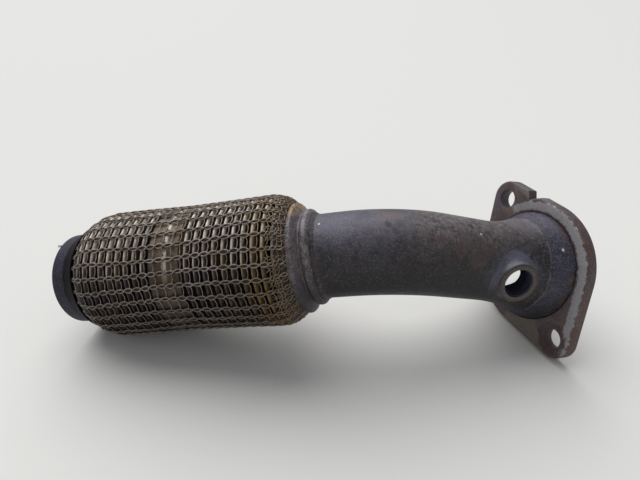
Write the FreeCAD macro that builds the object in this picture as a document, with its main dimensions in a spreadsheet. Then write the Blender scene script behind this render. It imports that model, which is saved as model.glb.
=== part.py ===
"""Front muffler: exhaust front pipe with a flexible coupling, a sensor boss and a two-bolt flange.

Every piece is drawn in the coupling's own frame: X along the coupling towards the flange, with zero
at the end cap's rim, Y towards the inside of the tube's bend. The whole part is then laid on the
floor as it rests, with its origin under the middle of its outline.
"""

import FreeCAD, Part
import math
import os

import Sketcher

X_AXIS = FreeCAD.Vector(1, 0, 0)
Y_AXIS = FreeCAD.Vector(0, 1, 0)
Z_AXIS = FreeCAD.Vector(0, 0, 1)

# Driving sizes, in millimetres and degrees

SIZES = {
    "rest_rise": (12.16, "slope of the coupling's axis when the part lies on a floor"),
    "rest_roll": (-47.6, "turn of the bend's plane about the coupling's axis at rest"),
    "play": (0.3, "gap between round pieces that seat in each other"),
    "pipe_radius": (24.3, "outside of the tube"),
    "pipe_wall": (1.6, "wall of the tube"),
    "pipe_insert": (8.0, "how far the tube runs into the coupling past the rim"),
    "bend_start": (22.8, "rim to the start of the bend"),
    "bend_radius": (77.3, "radius of the bend's centreline"),
    "bend_angle": (42.1, "angle that the bend turns"),
    "bend_to_flange": (73.1, "end of the bend to the flange's near face"),
    "bell_length": (45.0, "length over which the tube flares out to the flange"),
    "bell_radius": (34.4, "outside of the flared end"),
    "bell_power": (2.2, "how late the tube's flare opens"),
    "bell_seat": (6.2, "how far the flared end stands in the flange"),
    "flange_heading": (39.7, "direction of the flange's axis in the bend's plane"),
    "flange_lift": (5.1, "tilt of the flange's axis out of the bend's plane"),
    "flange_roll": (173.8, "turn of the bolt line about the flange's axis"),
    "flange_shift": (0.85, "sideways set of the flange in the bend's plane"),
    "flange_rise": (0.6, "sideways set of the flange out of the bend's plane"),
    "flange_thickness": (8.0, "thickness of the flange"),
    "flange_land": (7.1, "metal round the flange's bore"),
    "ear_radius": (12.0, "round end of each ear"),
    "ear_reach": (6.05, "edge of the flange's round middle to each bolt hole's centre"),
    "bolt_hole_radius": (6.1, "bolt hole"),
    "flange_edge": (1.4, "rounding of the flange's near edge"),
    "notch_run": (10.1, "length of the notch's floor beside the upper ear"),
    "notch_depth": (4.7, "depth of the notch"),
    "notch_angle": (-67.5, "direction of the notch's floor from the bolt line"),
    "notch_setback": (7.75, "upper bolt hole's centre back to the notch's inner corner"),
    "notch_corner_y": (15.1, "notch's inner corner across the bolt line"),
    "boss_upstream": (36.2, "flange's near face back to the sensor boss"),
    "boss_turn": (220.0, "position of the sensor boss round the tube"),
    "boss_tilt": (10.0, "lean of the sensor boss away from the flange"),
    "boss_under": (4.7, "boss's face under the flared end's outside"),
    "boss_radius": (12.0, "outside of the boss"),
    "boss_blank_share": (0.6, "tube's radius to which the boss is drawn before it is trimmed"),
    "thread_radius": (8.2, "wall of the boss's threaded hole"),
    "boss_edge": (0.9, "rounding of the boss's rim"),
    "thread_lead": (0.9, "lead-in chamfer of the threaded hole"),
    "weld_leg": (2.6, "leg of the weld round the boss"),
    "collar_length": (8.5, "straight part of the collar"),
    "flare_length": (9.4, "collar's flare up to the mesh"),
    "flare_over": (1.8, "outside of the flare's lip over the bellows' valleys"),
    "cap_wall": (2.0, "wall of both caps at their necks"),
    "skirt_wall": (1.5, "wall of both caps over the mesh"),
    "rim_over": (0.4, "outside of the end cap's rim over the bellows' valleys"),
    "rim_back": (3.4, "rim's lip, back over the mesh"),
    "tuck": (2.4, "sleeve's end under the collar's lip"),
    "tuck_drop": (3.3, "how much lower that end lies"),
    "rim_front": (1.6, "rim's front, down to the neck"),
    "neck_length": (6.6, "length of the end cap's neck"),
    "cap_weld_leg": (2.2, "leg of the weld between neck and tube"),
    "liner_wall": (0.8, "wall of the inner hose"),
    "cuff_wall": (0.5, "wall of the bellows"),
    "valley_step": (5.4, "outside of the bellows' valleys over its cuffs"),
    "crest_depth": (5.0, "height of the crests over the valleys"),
    "crest_flat": (1.3, "width of a crest's top"),
    "crest_foot": (3.5, "width of a crest's foot"),
    "left_crests": (8, "full crests in the group beside the collar"),
    "left_pitch": (5.43, "pitch of that group"),
    "left_first": (30.3, "collar's cut edge to its first full crest"),
    "left_end_drop": (1.7, "how much lower the crest on the collar's shoulder is"),
    "middle_span": (26.53, "last full crest of that group to the first one of the other"),
    "right_crests": (9, "full crests in the group beside the end cap"),
    "right_pitch": (5.62, "pitch of that group"),
    "right_last": (12.8, "last full crest back from the rim"),
    "right_end_drop": (3.5, "how much lower the crest on the end cap's shoulder is"),
    "ridge_place": (13.8, "last crest beside the collar to the low ridge in the plain middle"),
    "ridge_height": (1.2, "height of that ridge"),
    "mesh_wall": (1.2, "thickness of the knitted sleeve"),
    "row_height": (0.45, "how far the knitted rows stand over the cross wires"),
    "left_shoulder_over": (3.0, "sleeve's outside over the crests at the collar's shoulder"),
    "left_shoulder_run": (16.0, "lip to the full width at that shoulder"),
    "left_turn_over": (1.1, "sleeve's outside over the crests halfway up that shoulder"),
    "left_turn_run": (7.2, "lip to that turn"),
    "right_shoulder_over": (2.4, "sleeve's outside over the crests at the end cap's shoulder"),
    "right_shoulder_run": (10.2, "rim back to the full width at that shoulder"),
    "right_turn_under": (0.7, "sleeve's outside under the crests halfway up that shoulder"),
    "right_turn_run": (3.2, "rim back to that turn"),
    "waist_over": (1.8, "sleeve's outside over the crests at its slight waist"),
    "waist_place": (86.4, "cut edge to the waist"),
    "chains": (30, "knitted rows round the sleeve"),
    "chain_width": (4.2, "width of a knitted row"),
    "gap_rows": (2, "rows of gaps along the sleeve"),
    "hoop_width": (3.0, "cross wires left between two rows of gaps"),
    "gap_margin": (4.5, "sleeve's closed end beside each cap"),
}


class Size:
    """A length or angle that carries both its value and its spreadsheet expression."""

    def __init__(self, value, text):
        self.value = value
        self.text = text

    def join(self, other, sign, value):
        return Size(value, f"({self.text} {sign} {other.text})")

    def __add__(self, other):
        other = as_size(other)
        return self.join(other, "+", self.value + other.value)

    def __sub__(self, other):
        other = as_size(other)
        return self.join(other, "-", self.value - other.value)

    def __mul__(self, other):
        other = as_size(other)
        return self.join(other, "*", self.value * other.value)

    def __truediv__(self, other):
        other = as_size(other)
        return self.join(other, "/", self.value / other.value)

    def __neg__(self):
        return Size(-self.value, f"(0 - {self.text})")

    def __radd__(self, other):
        return as_size(other) + self

    def __rsub__(self, other):
        return as_size(other) - self

    def __rmul__(self, other):
        return as_size(other) * self


def as_size(number):
    return number if isinstance(number, Size) else Size(float(number), repr(float(number)))


def power(base, exponent):
    return Size(base.value**exponent.value, f"({base.text} ^ {exponent.text})")


def cosine(angle):
    return Size(math.cos(math.radians(angle.value)), f"cos({angle.text} * 1 deg)")


def sine(angle):
    return Size(math.sin(math.radians(angle.value)), f"sin({angle.text} * 1 deg)")


doc = FreeCAD.newDocument("front_muffler")
sheet = doc.addObject("Spreadsheet::Sheet", "sizes")


def fill_sheet():
    for row, (alias, (value, note)) in enumerate(SIZES.items(), start=1):
        sheet.set(f"A{row}", note)
        sheet.set(f"B{row}", str(value))
        sheet.setAlias(f"B{row}", alias)
    doc.recompute()


fill_sheet()


def size(alias):
    return Size(float(sheet.get(alias)), f"sizes.{alias}")


def count(alias):
    return int(sheet.get(alias))


# Helpers for bodies, sketches and features


def new_body(label):
    body = doc.addObject("PartDesign::Body", label)
    body.Label = label
    return body


def origin_part(body, role):
    return next(part for part in body.Origin.OriginFeatures if part.Role == role)


def new_sketch(body, name, plane="XY_Plane", offset=None):
    sketch = body.newObject("Sketcher::SketchObject", f"{body.Label}_{name}")
    sketch.AttachmentSupport = [(origin_part(body, plane), "")]
    sketch.MapMode = "FlatFace"
    if offset is not None:
        sketch.AttachmentOffset = offset
    return sketch


def bind(sketch, kind, places, length):
    """One sketch dimension that follows its spreadsheet expression."""
    index = sketch.addConstraint(Sketcher.Constraint(kind, *places, length.value))
    sketch.setExpression(f"Constraints[{index}]", length.text)


def pin_point(sketch, edge, end, x, y):
    """Fix one end of an edge at x, y from the sketch's origin."""
    for kind, place, on_axis in (("DistanceX", x, -2), ("DistanceY", y, -1)):
        if abs(place.value) < 1e-9:
            sketch.addConstraint(Sketcher.Constraint("PointOnObject", edge, end, on_axis))
        elif place.value > 0:
            bind(sketch, kind, (-1, 1, edge, end), place)
        else:
            bind(sketch, kind, (edge, end, -1, 1), -place)


def arc_between(start, end, radius, left):
    """Centre and angles of the arc from start to end that bulges to the left or the right."""
    (x0, y0), (x1, y1) = start, end
    half = math.hypot(x1 - x0, y1 - y0) / 2
    rise = math.sqrt(max(radius * radius - half * half, 0.0))
    side = -1 if left else 1
    cx = (x0 + x1) / 2 - side * rise * (y1 - y0) / (2 * half)
    cy = (y0 + y1) / 2 + side * rise * (x1 - x0) / (2 * half)
    first = math.atan2(y0 - cy, x0 - cx)
    last = math.atan2(y1 - cy, x1 - cx)
    return FreeCAD.Vector(cx, cy, 0), first, last


def draw_outline(sketch, corners):
    """A closed outline. Each corner is (x, y) or (x, y, radius, side), where the radius and the
    side of the bulge, left or right, shape the edge that leaves the corner."""
    points = [(as_size(corner[0]), as_size(corner[1])) for corner in corners]
    first_edge = sketch.GeometryCount
    ends = []
    for index, corner in enumerate(corners):
        x0, y0 = points[index]
        x1, y1 = points[(index + 1) % len(points)]
        start, end = (x0.value, y0.value), (x1.value, y1.value)
        if len(corner) == 2:
            line = Part.LineSegment(FreeCAD.Vector(*start, 0), FreeCAD.Vector(*end, 0))
            edge = sketch.addGeometry(line)
            ends.append((edge, 1, 2))
        else:
            radius, side = as_size(corner[2]), corner[3]
            centre, first, last = arc_between(start, end, radius.value, side == "left")
            circle = Part.Circle(centre, Z_AXIS, radius.value)
            if side == "left":
                edge = sketch.addGeometry(Part.ArcOfCircle(circle, last, first))
                ends.append((edge, 2, 1))
            else:
                edge = sketch.addGeometry(Part.ArcOfCircle(circle, first, last))
                ends.append((edge, 1, 2))
            bind(sketch, "Radius", (edge,), radius)
    for index, (edge, start_end, finish_end) in enumerate(ends):
        following, following_start, _ = ends[(index + 1) % len(ends)]
        sketch.addConstraint(
            Sketcher.Constraint("Coincident", edge, finish_end, following, following_start)
        )
        pin_point(sketch, edge, start_end, *points[index])
    return first_edge


def draw_circle(sketch, radius, x=0.0, y=0.0):
    x, y = as_size(x), as_size(y)
    edge = sketch.addGeometry(
        Part.Circle(FreeCAD.Vector(x.value, y.value, 0), Z_AXIS, radius.value)
    )
    bind(sketch, "Radius", (edge,), radius)
    pin_point(sketch, edge, 3, x, y)
    return edge


def turned(body, kind, sketch, name, angle=None):
    """A ring or a round cut about the sketch's horizontal axis."""
    feature = body.newObject(f"PartDesign::{kind}", f"{body.Label}_{name}")
    feature.Profile = sketch
    feature.ReferenceAxis = (sketch, ["H_Axis"])
    if angle is None:
        feature.Angle = 360
    else:
        feature.Midplane = True
        feature.setExpression("Angle", angle.text)
    body.Tip = feature
    doc.recompute()
    return feature


def repeated_along(body, feature, name, pitch, copies):
    pattern = body.newObject("PartDesign::LinearPattern", f"{body.Label}_{name}")
    pattern.Originals = [feature]
    pattern.Direction = (origin_part(body, "X_Axis"), [""])
    pattern.setExpression("Length", (pitch * (copies - 1)).text)
    pattern.setExpression("Occurrences", copies.text)
    body.Tip = pattern
    doc.recompute()
    return pattern


def repeated_round(body, features, name, copies):
    pattern = body.newObject("PartDesign::PolarPattern", f"{body.Label}_{name}")
    pattern.Originals = features
    pattern.Axis = (origin_part(body, "X_Axis"), [""])
    pattern.Angle = 360
    pattern.setExpression("Occurrences", copies.text)
    body.Tip = pattern
    doc.recompute()
    return pattern


def prism(body, kind, sketch, name, length, reverse=False):
    feature = body.newObject(f"PartDesign::{kind}", f"{body.Label}_{name}")
    feature.Profile = sketch
    feature.setExpression("Length", length.text)
    feature.Reversed = reverse
    body.Tip = feature
    doc.recompute()
    return feature


def placed(place, *turns):
    """A placement from a point and turns (axis, degrees) in the order in which they are made."""
    rotation = FreeCAD.Rotation()
    for axis, degrees in turns:
        rotation = rotation * FreeCAD.Rotation(axis, degrees)
    return FreeCAD.Placement(place, rotation)


# Places along the tube that several pieces share

play = size("play")
pipe_radius = size("pipe_radius")
pipe_wall = size("pipe_wall")
bell_radius = size("bell_radius")
bell_length = size("bell_length")
bend_start = size("bend_start")
bend_radius = size("bend_radius")
bend_angle = size("bend_angle")
crest_runs = size("left_pitch") * (size("left_crests") - 1)
crest_runs = crest_runs + size("right_pitch") * (size("right_crests") - 1)
flex_length = size("left_first") + crest_runs + size("middle_span") + size("right_last")
cut_edge = -flex_length
disc_radius = bell_radius + play + size("flange_land")
ear_distance = disc_radius + size("ear_reach")
liner_outer = pipe_radius + play + size("liner_wall")
cuff_inner = liner_outer + play
cuff_outer = cuff_inner + size("cuff_wall")
collar_radius = cuff_outer + play + size("cap_wall")
neck_radius = cuff_outer + play + size("cap_wall") / 2
valley_radius = cuff_outer + size("valley_step")
crest_radius = valley_radius + size("crest_depth")
flare_radius = valley_radius + size("flare_over")
rim_radius = valley_radius + size("rim_over")
left_shoulder_radius = crest_radius + size("left_shoulder_over")

boss_face = bell_radius - size("boss_under")
boss_blank_foot = pipe_radius * size("boss_blank_share") - boss_face

BELL_STATIONS = (0.0, 0.16, 0.42, 0.71, 1.0)
UPRIGHT = 90.0
HEADING = math.radians(bend_angle.value)
ALONG = FreeCAD.Vector(math.cos(HEADING), math.sin(HEADING), 0)
ACROSS = FreeCAD.Vector(-math.sin(HEADING), math.cos(HEADING), 0)
BEND_END = FreeCAD.Vector(
    bend_start.value + bend_radius.value * math.sin(HEADING),
    bend_radius.value * (1 - math.cos(HEADING)),
    0,
)
TUBE_END = BEND_END + ALONG * size("bend_to_flange").value
FLANGE_PLACE = placed(
    TUBE_END - ACROSS * size("flange_shift").value + Z_AXIS * size("flange_rise").value,
    (Z_AXIS, size("flange_heading").value),
    (Y_AXIS, UPRIGHT - size("flange_lift").value),
    (Z_AXIS, size("flange_roll").value),
)
BOSS_FOOT = TUBE_END - ALONG * size("boss_upstream").value
BOSS_TURNS = (
    (Z_AXIS, bend_angle.value),
    (X_AXIS, size("boss_turn").value - UPRIGHT),
    (Y_AXIS, -size("boss_tilt").value),
)
BOSS_OUTWARD = placed(FreeCAD.Vector(), *BOSS_TURNS[:2]).Rotation.multVec(Z_AXIS)
BOSS_PLACE = placed(BOSS_FOOT + BOSS_OUTWARD * boss_face.value, *BOSS_TURNS)


def bell_station(share):
    """Where the flare's section stands, share of the way from the straight tube to the flange.

    The centreline leaves the tube's axis gently and ends square to the flange."""
    back = bell_length.value * (1 - share)
    drift = share * share
    centre = TUBE_END - ALONG * back
    centre = centre - ACROSS * (size("flange_shift").value * drift)
    centre = centre + Z_AXIS * (size("flange_rise").value * drift)
    heading = bend_angle.value + (size("flange_heading").value - bend_angle.value) * share
    lift = size("flange_lift").value * share
    return placed(centre, (Z_AXIS, heading), (Y_AXIS, UPRIGHT - lift))


def tube_core(body, kind, wall, overrun):
    """The tube's outside, or its hollow: a swept run with its bend, then the flared end."""
    start = -size("pipe_insert") - overrun
    radius = pipe_radius - wall
    tag = "outside" if kind == "Additive" else "hollow"
    spine = new_sketch(body, f"{tag}_path")
    bell_start = TUBE_END - ALONG * bell_length.value
    bend_centre = FreeCAD.Vector(bend_start.value, bend_radius.value, 0)
    quarter = math.pi / 2
    lead = spine.addGeometry(
        Part.LineSegment(FreeCAD.Vector(start.value, 0, 0), FreeCAD.Vector(bend_start.value, 0, 0))
    )
    bend = spine.addGeometry(
        Part.ArcOfCircle(
            Part.Circle(bend_centre, Z_AXIS, bend_radius.value), -quarter, HEADING - quarter
        )
    )
    run = spine.addGeometry(Part.LineSegment(BEND_END, bell_start))
    spine.addConstraint(Sketcher.Constraint("Coincident", lead, 2, bend, 1))
    spine.addConstraint(Sketcher.Constraint("Coincident", bend, 2, run, 1))
    pin_point(spine, lead, 1, start, as_size(0.0))
    pin_point(spine, lead, 2, bend_start, as_size(0.0))
    pin_point(spine, bend, 3, bend_start, bend_radius)
    run_length = size("bend_to_flange") - bell_length
    bend_x = bend_start + bend_radius * sine(bend_angle)
    bend_y = bend_radius - bend_radius * cosine(bend_angle)
    bind(spine, "DistanceX", (-1, 1, run, 1), bend_x)
    pin_point(
        spine,
        run,
        2,
        bend_x + run_length * cosine(bend_angle),
        bend_y + run_length * sine(bend_angle),
    )
    mouth = new_sketch(
        body, f"{tag}_mouth", offset=placed(FreeCAD.Vector(start.value, 0, 0), (Y_AXIS, UPRIGHT))
    )
    draw_circle(mouth, radius)
    sweep = body.newObject(f"PartDesign::{kind}Pipe", f"{body.Label}_{tag}_run")
    sweep.Profile = mouth
    sweep.Spine = (spine, ["Edge1", "Edge2", "Edge3"])
    body.Tip = sweep
    doc.recompute()
    rings = []
    for index, share in enumerate(BELL_STATIONS):
        ring = new_sketch(body, f"{tag}_bell_{index}", offset=bell_station(share))
        draw_circle(ring, radius + (bell_radius - pipe_radius) * share ** size("bell_power").value)
        rings.append(ring)
    loft = body.newObject(f"PartDesign::{kind}Loft", f"{body.Label}_{tag}_bell")
    loft.Profile = rings[0]
    loft.Sections = rings[1:]
    body.Tip = loft
    doc.recompute()
    end = new_sketch(body, f"{tag}_end", offset=bell_station(1.0))
    draw_circle(end, bell_radius - wall)
    prism(
        body,
        "Pad" if kind == "Additive" else "Pocket",
        end,
        f"{tag}_end_run",
        size("bell_seat") + overrun,
        reverse=kind == "Subtractive",
    )


def make_front_pipe():
    """Bent tube with its flared end and the hole under the sensor boss."""
    body = new_body("front_pipe")
    tube_core(body, "Additive", as_size(0.0), as_size(0.0))
    tube_core(body, "Subtractive", pipe_wall, as_size(1.0))
    hole = new_sketch(body, "sensor_hole", offset=BOSS_PLACE)
    draw_circle(hole, size("thread_radius") + play)
    reach = boss_face - pipe_radius / 2
    prism(body, "Pocket", hole, "sensor_hole_cut", reach)
    return body


def flare_rise(before_flange):
    """How much wider than the straight tube the flare is at a distance before the flange."""
    share = as_size(1.0) - before_flange / bell_length
    return (bell_radius - pipe_radius) * power(share, size("bell_power"))


def saddle_cut(body, clearance):
    """Shape the foot of a piece in the boss's frame to the tube's outside."""
    sketch = new_sketch(body, "saddle", "XZ_Plane")
    tilt = size("boss_tilt")
    face = boss_face
    reach = size("boss_radius") * 2
    lean_x = sine(tilt)
    lean_y = cosine(tilt)
    axis_x = -(face * lean_x)
    axis_y = -(face * lean_y)
    start = (axis_x - reach * lean_y, axis_y + reach * lean_x)
    stop = (axis_x + reach * lean_y, axis_y - reach * lean_x)
    radius = pipe_radius + clearance
    toe = size("boss_radius") + size("weld_leg") * 1.5
    rise = flare_rise(size("boss_upstream"))
    slope = (flare_rise(size("boss_upstream") - toe) - rise) / toe
    middle = radius + rise
    wide = middle + slope * reach
    corners = [
        start,
        stop,
        (stop[0] + wide * lean_x, stop[1] + wide * lean_y),
        (axis_x + middle * lean_x, axis_y + middle * lean_y),
        (start[0] + radius * lean_x, start[1] + radius * lean_y),
    ]
    first_edge = draw_outline(sketch, corners)
    cut = body.newObject("PartDesign::Groove", f"{body.Label}_saddle_cut")
    cut.Profile = sketch
    cut.ReferenceAxis = (sketch, [f"Edge{first_edge + 1}"])
    cut.Angle = 360
    body.Tip = cut
    doc.recompute()


def make_sensor_boss():
    """Threaded boss for the oxygen sensor, its foot shaped to the tube."""
    body = new_body("sensor_boss")
    outer = size("boss_radius")
    inner = size("thread_radius")
    edge = size("boss_edge")
    lead = size("thread_lead")
    sketch = new_sketch(body, "section", "XZ_Plane")
    draw_outline(
        sketch,
        [
            (inner, boss_blank_foot),
            (outer, boss_blank_foot),
            (outer, -edge, edge, "right"),
            (outer - edge, 0.0),
            (inner + lead, 0.0),
            (inner, -lead),
        ],
    )
    ring = body.newObject("PartDesign::Revolution", "sensor_boss_ring")
    ring.Profile = sketch
    ring.ReferenceAxis = (sketch, ["V_Axis"])
    ring.Angle = 360
    body.Tip = ring
    doc.recompute()
    saddle_cut(body, play / 2)
    return body


def make_sensor_boss_weld():
    """Fillet weld round the foot of the boss."""
    body = new_body("sensor_boss_weld")
    inner = size("boss_radius") + play / 2
    leg = size("weld_leg")
    side = inner + leg * 1.4
    top = -(boss_face - pipe_radius) + leg / 2
    sketch = new_sketch(body, "section", "XZ_Plane")
    draw_outline(
        sketch,
        [
            (inner, boss_blank_foot),
            (side, boss_blank_foot),
            (side, top - leg * 1.2, leg * 2.4, "right"),
            (inner, top),
        ],
    )
    ring = body.newObject("PartDesign::Revolution", "sensor_boss_weld_ring")
    ring.Profile = sketch
    ring.ReferenceAxis = (sketch, ["V_Axis"])
    ring.Angle = 360
    body.Tip = ring
    doc.recompute()
    saddle_cut(body, play / 2)
    return body


def flange_outline(sketch):
    """Round middle and two ears, joined by straight flanks that touch both."""
    disc, ear, reach = disc_radius, size("ear_radius"), ear_distance
    lean = math.acos((disc.value - ear.value) / reach.value)
    ears, discs, flanks = [], [], []
    for sign in (1, -1):
        middle = 0 if sign > 0 else math.pi
        centre = FreeCAD.Vector(sign * reach.value, 0, 0)
        circle = Part.Circle(centre, Z_AXIS, ear.value)
        ears.append(sketch.addGeometry(Part.ArcOfCircle(circle, middle - lean, middle + lean)))
    for sign in (1, -1):
        low = lean if sign > 0 else math.pi + lean
        circle = Part.Circle(FreeCAD.Vector(0, 0, 0), Z_AXIS, disc.value)
        discs.append(
            sketch.addGeometry(Part.ArcOfCircle(circle, low, low + math.pi - 2 * lean))
        )
    joins = (
        (ears[0], 2, discs[0], 1, lean),
        (discs[0], 2, ears[1], 1, math.pi - lean),
        (ears[1], 2, discs[1], 1, math.pi + lean),
        (discs[1], 2, ears[0], 1, -lean),
    )
    for before, before_end, after, after_end, angle in joins:
        normal = FreeCAD.Vector(math.cos(angle), math.sin(angle), 0)
        near_ear = FreeCAD.Vector(math.copysign(reach.value, normal.x), 0, 0) + normal * ear.value
        near_disc = normal * disc.value
        ends = (near_ear, near_disc) if before in ears else (near_disc, near_ear)
        flank = sketch.addGeometry(Part.LineSegment(*ends))
        flanks.append(flank)
        sketch.addConstraint(Sketcher.Constraint("Tangent", before, before_end, flank, 1))
        sketch.addConstraint(Sketcher.Constraint("Tangent", flank, 2, after, after_end))
    for index, place in ((0, reach), (1, -reach)):
        bind(sketch, "Radius", (ears[index],), ear)
        pin_point(sketch, ears[index], 3, place, as_size(0.0))
        bind(sketch, "Radius", (discs[index],), disc)
        pin_point(sketch, discs[index], 3, as_size(0.0), as_size(0.0))


def make_flange():
    """Two-bolt flange: bore for the flared end, bolt holes, rounded near edge and a notch."""
    body = new_body("flange")
    thickness = size("flange_thickness")
    plate = new_sketch(body, "outline")
    flange_outline(plate)
    draw_circle(plate, bell_radius + play)
    slab = prism(body, "Pad", plate, "plate", thickness)
    bore_length = 2 * math.pi * (bell_radius + play).value
    rim_edges = [
        f"Edge{index}"
        for index, edge in enumerate(slab.Shape.Edges, start=1)
        if edge.BoundBox.ZMax < 1e-6 and abs(edge.Length - bore_length) > 1e-3
    ]
    rounding = body.newObject("PartDesign::Fillet", "flange_near_edge")
    rounding.Base = (slab, rim_edges)
    rounding.setExpression("Radius", size("flange_edge").text)
    body.Tip = rounding
    doc.recompute()
    holes = new_sketch(body, "bolt_holes")
    for sign in (1.0, -1.0):
        draw_circle(holes, size("bolt_hole_radius"), ear_distance * sign)
    prism(body, "Pocket", holes, "bolt_hole_cut", thickness, reverse=True)
    notch = new_sketch(body, "notch")
    corner_x, corner_y = ear_distance - size("notch_setback"), size("notch_corner_y")
    direction = size("notch_angle")
    run, depth = size("notch_run"), size("notch_depth") * 2
    floor_x = corner_x - run * cosine(direction)
    floor_y = corner_y - run * sine(direction)
    draw_outline(
        notch,
        [
            (corner_x, corner_y),
            (corner_x - depth * sine(direction), corner_y + depth * cosine(direction)),
            (floor_x - depth * sine(direction), floor_y + depth * cosine(direction)),
            (floor_x, floor_y),
        ],
    )
    prism(body, "Pocket", notch, "notch_cut", thickness, reverse=True)
    return body


def make_flange_weld():
    """Ring weld that joins the flared end to the flange's bore, below the gasket face."""
    body = new_body("flange_weld")
    bore = bell_radius + play
    seat = size("bell_seat")
    depth = size("flange_thickness") - seat
    sketch = new_sketch(body, "section", "XZ_Plane")
    draw_outline(
        sketch,
        [
            (bore - pipe_wall - play, seat + play / 3),
            (bore - play / 3, seat + play / 3),
            (bore - play / 3, seat + depth * 0.9, pipe_wall * 2, "right"),
        ],
    )
    ring = body.newObject("PartDesign::Revolution", "flange_weld_ring")
    ring.Profile = sketch
    ring.ReferenceAxis = (sketch, ["V_Axis"])
    ring.Angle = 360
    body.Tip = ring
    doc.recompute()
    return body


def make_left_cap():
    """Cut collar with its flare over the mesh."""
    body = new_body("left_cap")
    collar, wall, skirt = collar_radius, size("cap_wall"), size("skirt_wall")
    shoulder = cut_edge + size("collar_length")
    lip = shoulder + size("flare_length")
    flare = flare_radius
    arc = size("flare_length") * 1.25
    sketch = new_sketch(body, "section")
    draw_outline(
        sketch,
        [
            (cut_edge, collar - wall),
            (shoulder + wall / 2, collar - wall, arc, "right"),
            (lip, flare - skirt),
            (lip, flare, arc, "left"),
            (shoulder, collar),
            (cut_edge + play, collar, play, "right"),
            (cut_edge, collar - play),
        ],
    )
    turned(body, "Revolution", sketch, "ring")
    return body


def make_left_cap_weld():
    """Weld that closes the ends of the collar, the bellows and the inner hose on the tube."""
    body = new_body("left_cap_weld")
    outer = collar_radius - size("cap_wall") - play / 3
    inner = pipe_radius + play / 3
    sketch = new_sketch(body, "section")
    draw_outline(
        sketch,
        [
            (cut_edge, inner),
            (cut_edge, outer),
            (cut_edge + pipe_wall, outer),
            (cut_edge + pipe_wall, inner),
        ],
    )
    turned(body, "Revolution", sketch, "ring")
    return body


def make_pipe_stub():
    """Short rest of the cut tube inside the collar."""
    body = new_body("pipe_stub")
    end = cut_edge + size("collar_length") + size("flare_length")
    sketch = new_sketch(body, "section")
    draw_outline(
        sketch,
        [
            (cut_edge, pipe_radius - pipe_wall),
            (cut_edge, pipe_radius),
            (end, pipe_radius),
            (end, pipe_radius - pipe_wall),
        ],
    )
    turned(body, "Revolution", sketch, "ring")
    return body


def make_right_cap():
    """End cap: rounded rim over the mesh, then a beaded neck on the tube."""
    body = new_body("right_cap")
    rim, skirt = rim_radius, size("skirt_wall")
    back, front = size("rim_back"), size("rim_front")
    neck, wall = neck_radius, size("cap_wall")
    end = front + size("neck_length")
    inner = neck - wall / 2
    sketch = new_sketch(body, "section")
    draw_outline(
        sketch,
        [
            (-back, rim - skirt),
            (-back, rim - skirt / 2, skirt, "left"),
            (-(back / 2), rim),
            (back / 4, rim, (rim - neck) * 1.1, "left"),
            (front, neck - skirt / 4, size("neck_length"), "left"),
            (end, neck - skirt / 2),
            (end, inner),
            (front - skirt, inner),
            (back / 4, rim - skirt),
        ],
    )
    turned(body, "Revolution", sketch, "ring")
    return body


def make_right_cap_weld():
    """Weld bead between the end cap's neck and the tube."""
    body = new_body("right_cap_weld")
    start = size("rim_front") + size("neck_length") + play / 3
    leg = size("cap_weld_leg")
    inner = pipe_radius + play / 3
    outer = neck_radius - size("skirt_wall") / 2
    sketch = new_sketch(body, "section")
    draw_outline(
        sketch,
        [
            (start, inner),
            (start, outer, leg * 1.6, "left"),
            (start + leg, inner),
        ],
    )
    turned(body, "Revolution", sketch, "ring")
    return body


def make_liner():
    """Inner hose that guides the gas past the bellows."""
    body = new_body("liner")
    inner = pipe_radius + play
    start = cut_edge + pipe_wall + play
    end = size("rim_front") + size("neck_length")
    sketch = new_sketch(body, "section")
    draw_outline(
        sketch, [(start, inner), (start, liner_outer), (end, liner_outer), (end, inner)]
    )
    turned(body, "Revolution", sketch, "wall")
    return body


def draw_crest(sketch, place, drop):
    """One crest's section."""
    crest = crest_radius - drop
    root = valley_radius - size("cuff_wall")
    flat, foot = size("crest_flat") / 2, size("crest_foot") / 2
    draw_outline(
        sketch,
        [
            (place - foot, root),
            (place - flat, crest),
            (place + flat, crest),
            (place + foot, root),
        ],
    )


def draw_hollow(sketch, place, drop):
    """The hollow inside one crest, which leaves a thin wall."""
    wall = size("cuff_wall")
    crest = crest_radius - drop - wall * 1.5
    root = valley_radius - wall * 2
    foot = size("crest_foot") / 2 - wall / 2
    draw_outline(sketch, [(place - foot, root), (place, crest), (place + foot, root)])


def add_crests(body, stage, kind, draw):
    """Both groups of crests, or their hollows, and the lower crest on each shoulder."""
    left_first = cut_edge + size("left_first")
    left_pitch, right_pitch = size("left_pitch"), size("right_pitch")
    right_first = -size("right_last") - right_pitch * (size("right_crests") - 1)
    groups = (
        ("left", left_first, left_pitch, size("left_crests")),
        ("right", right_first, right_pitch, size("right_crests")),
    )
    for name, first, pitch, copies in groups:
        sketch = new_sketch(body, f"{name}_{stage}")
        draw(sketch, first, as_size(0.0))
        ring = turned(body, kind, sketch, f"{name}_{stage}_ring")
        repeated_along(body, ring, f"{name}_{stage}_rings", pitch, copies)
    ends = new_sketch(body, f"end_{stage}")
    draw(ends, left_first - left_pitch, size("left_end_drop"))
    draw(ends, -size("right_last") + right_pitch, size("right_end_drop"))
    turned(body, kind, ends, f"end_{stage}_rings")


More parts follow.
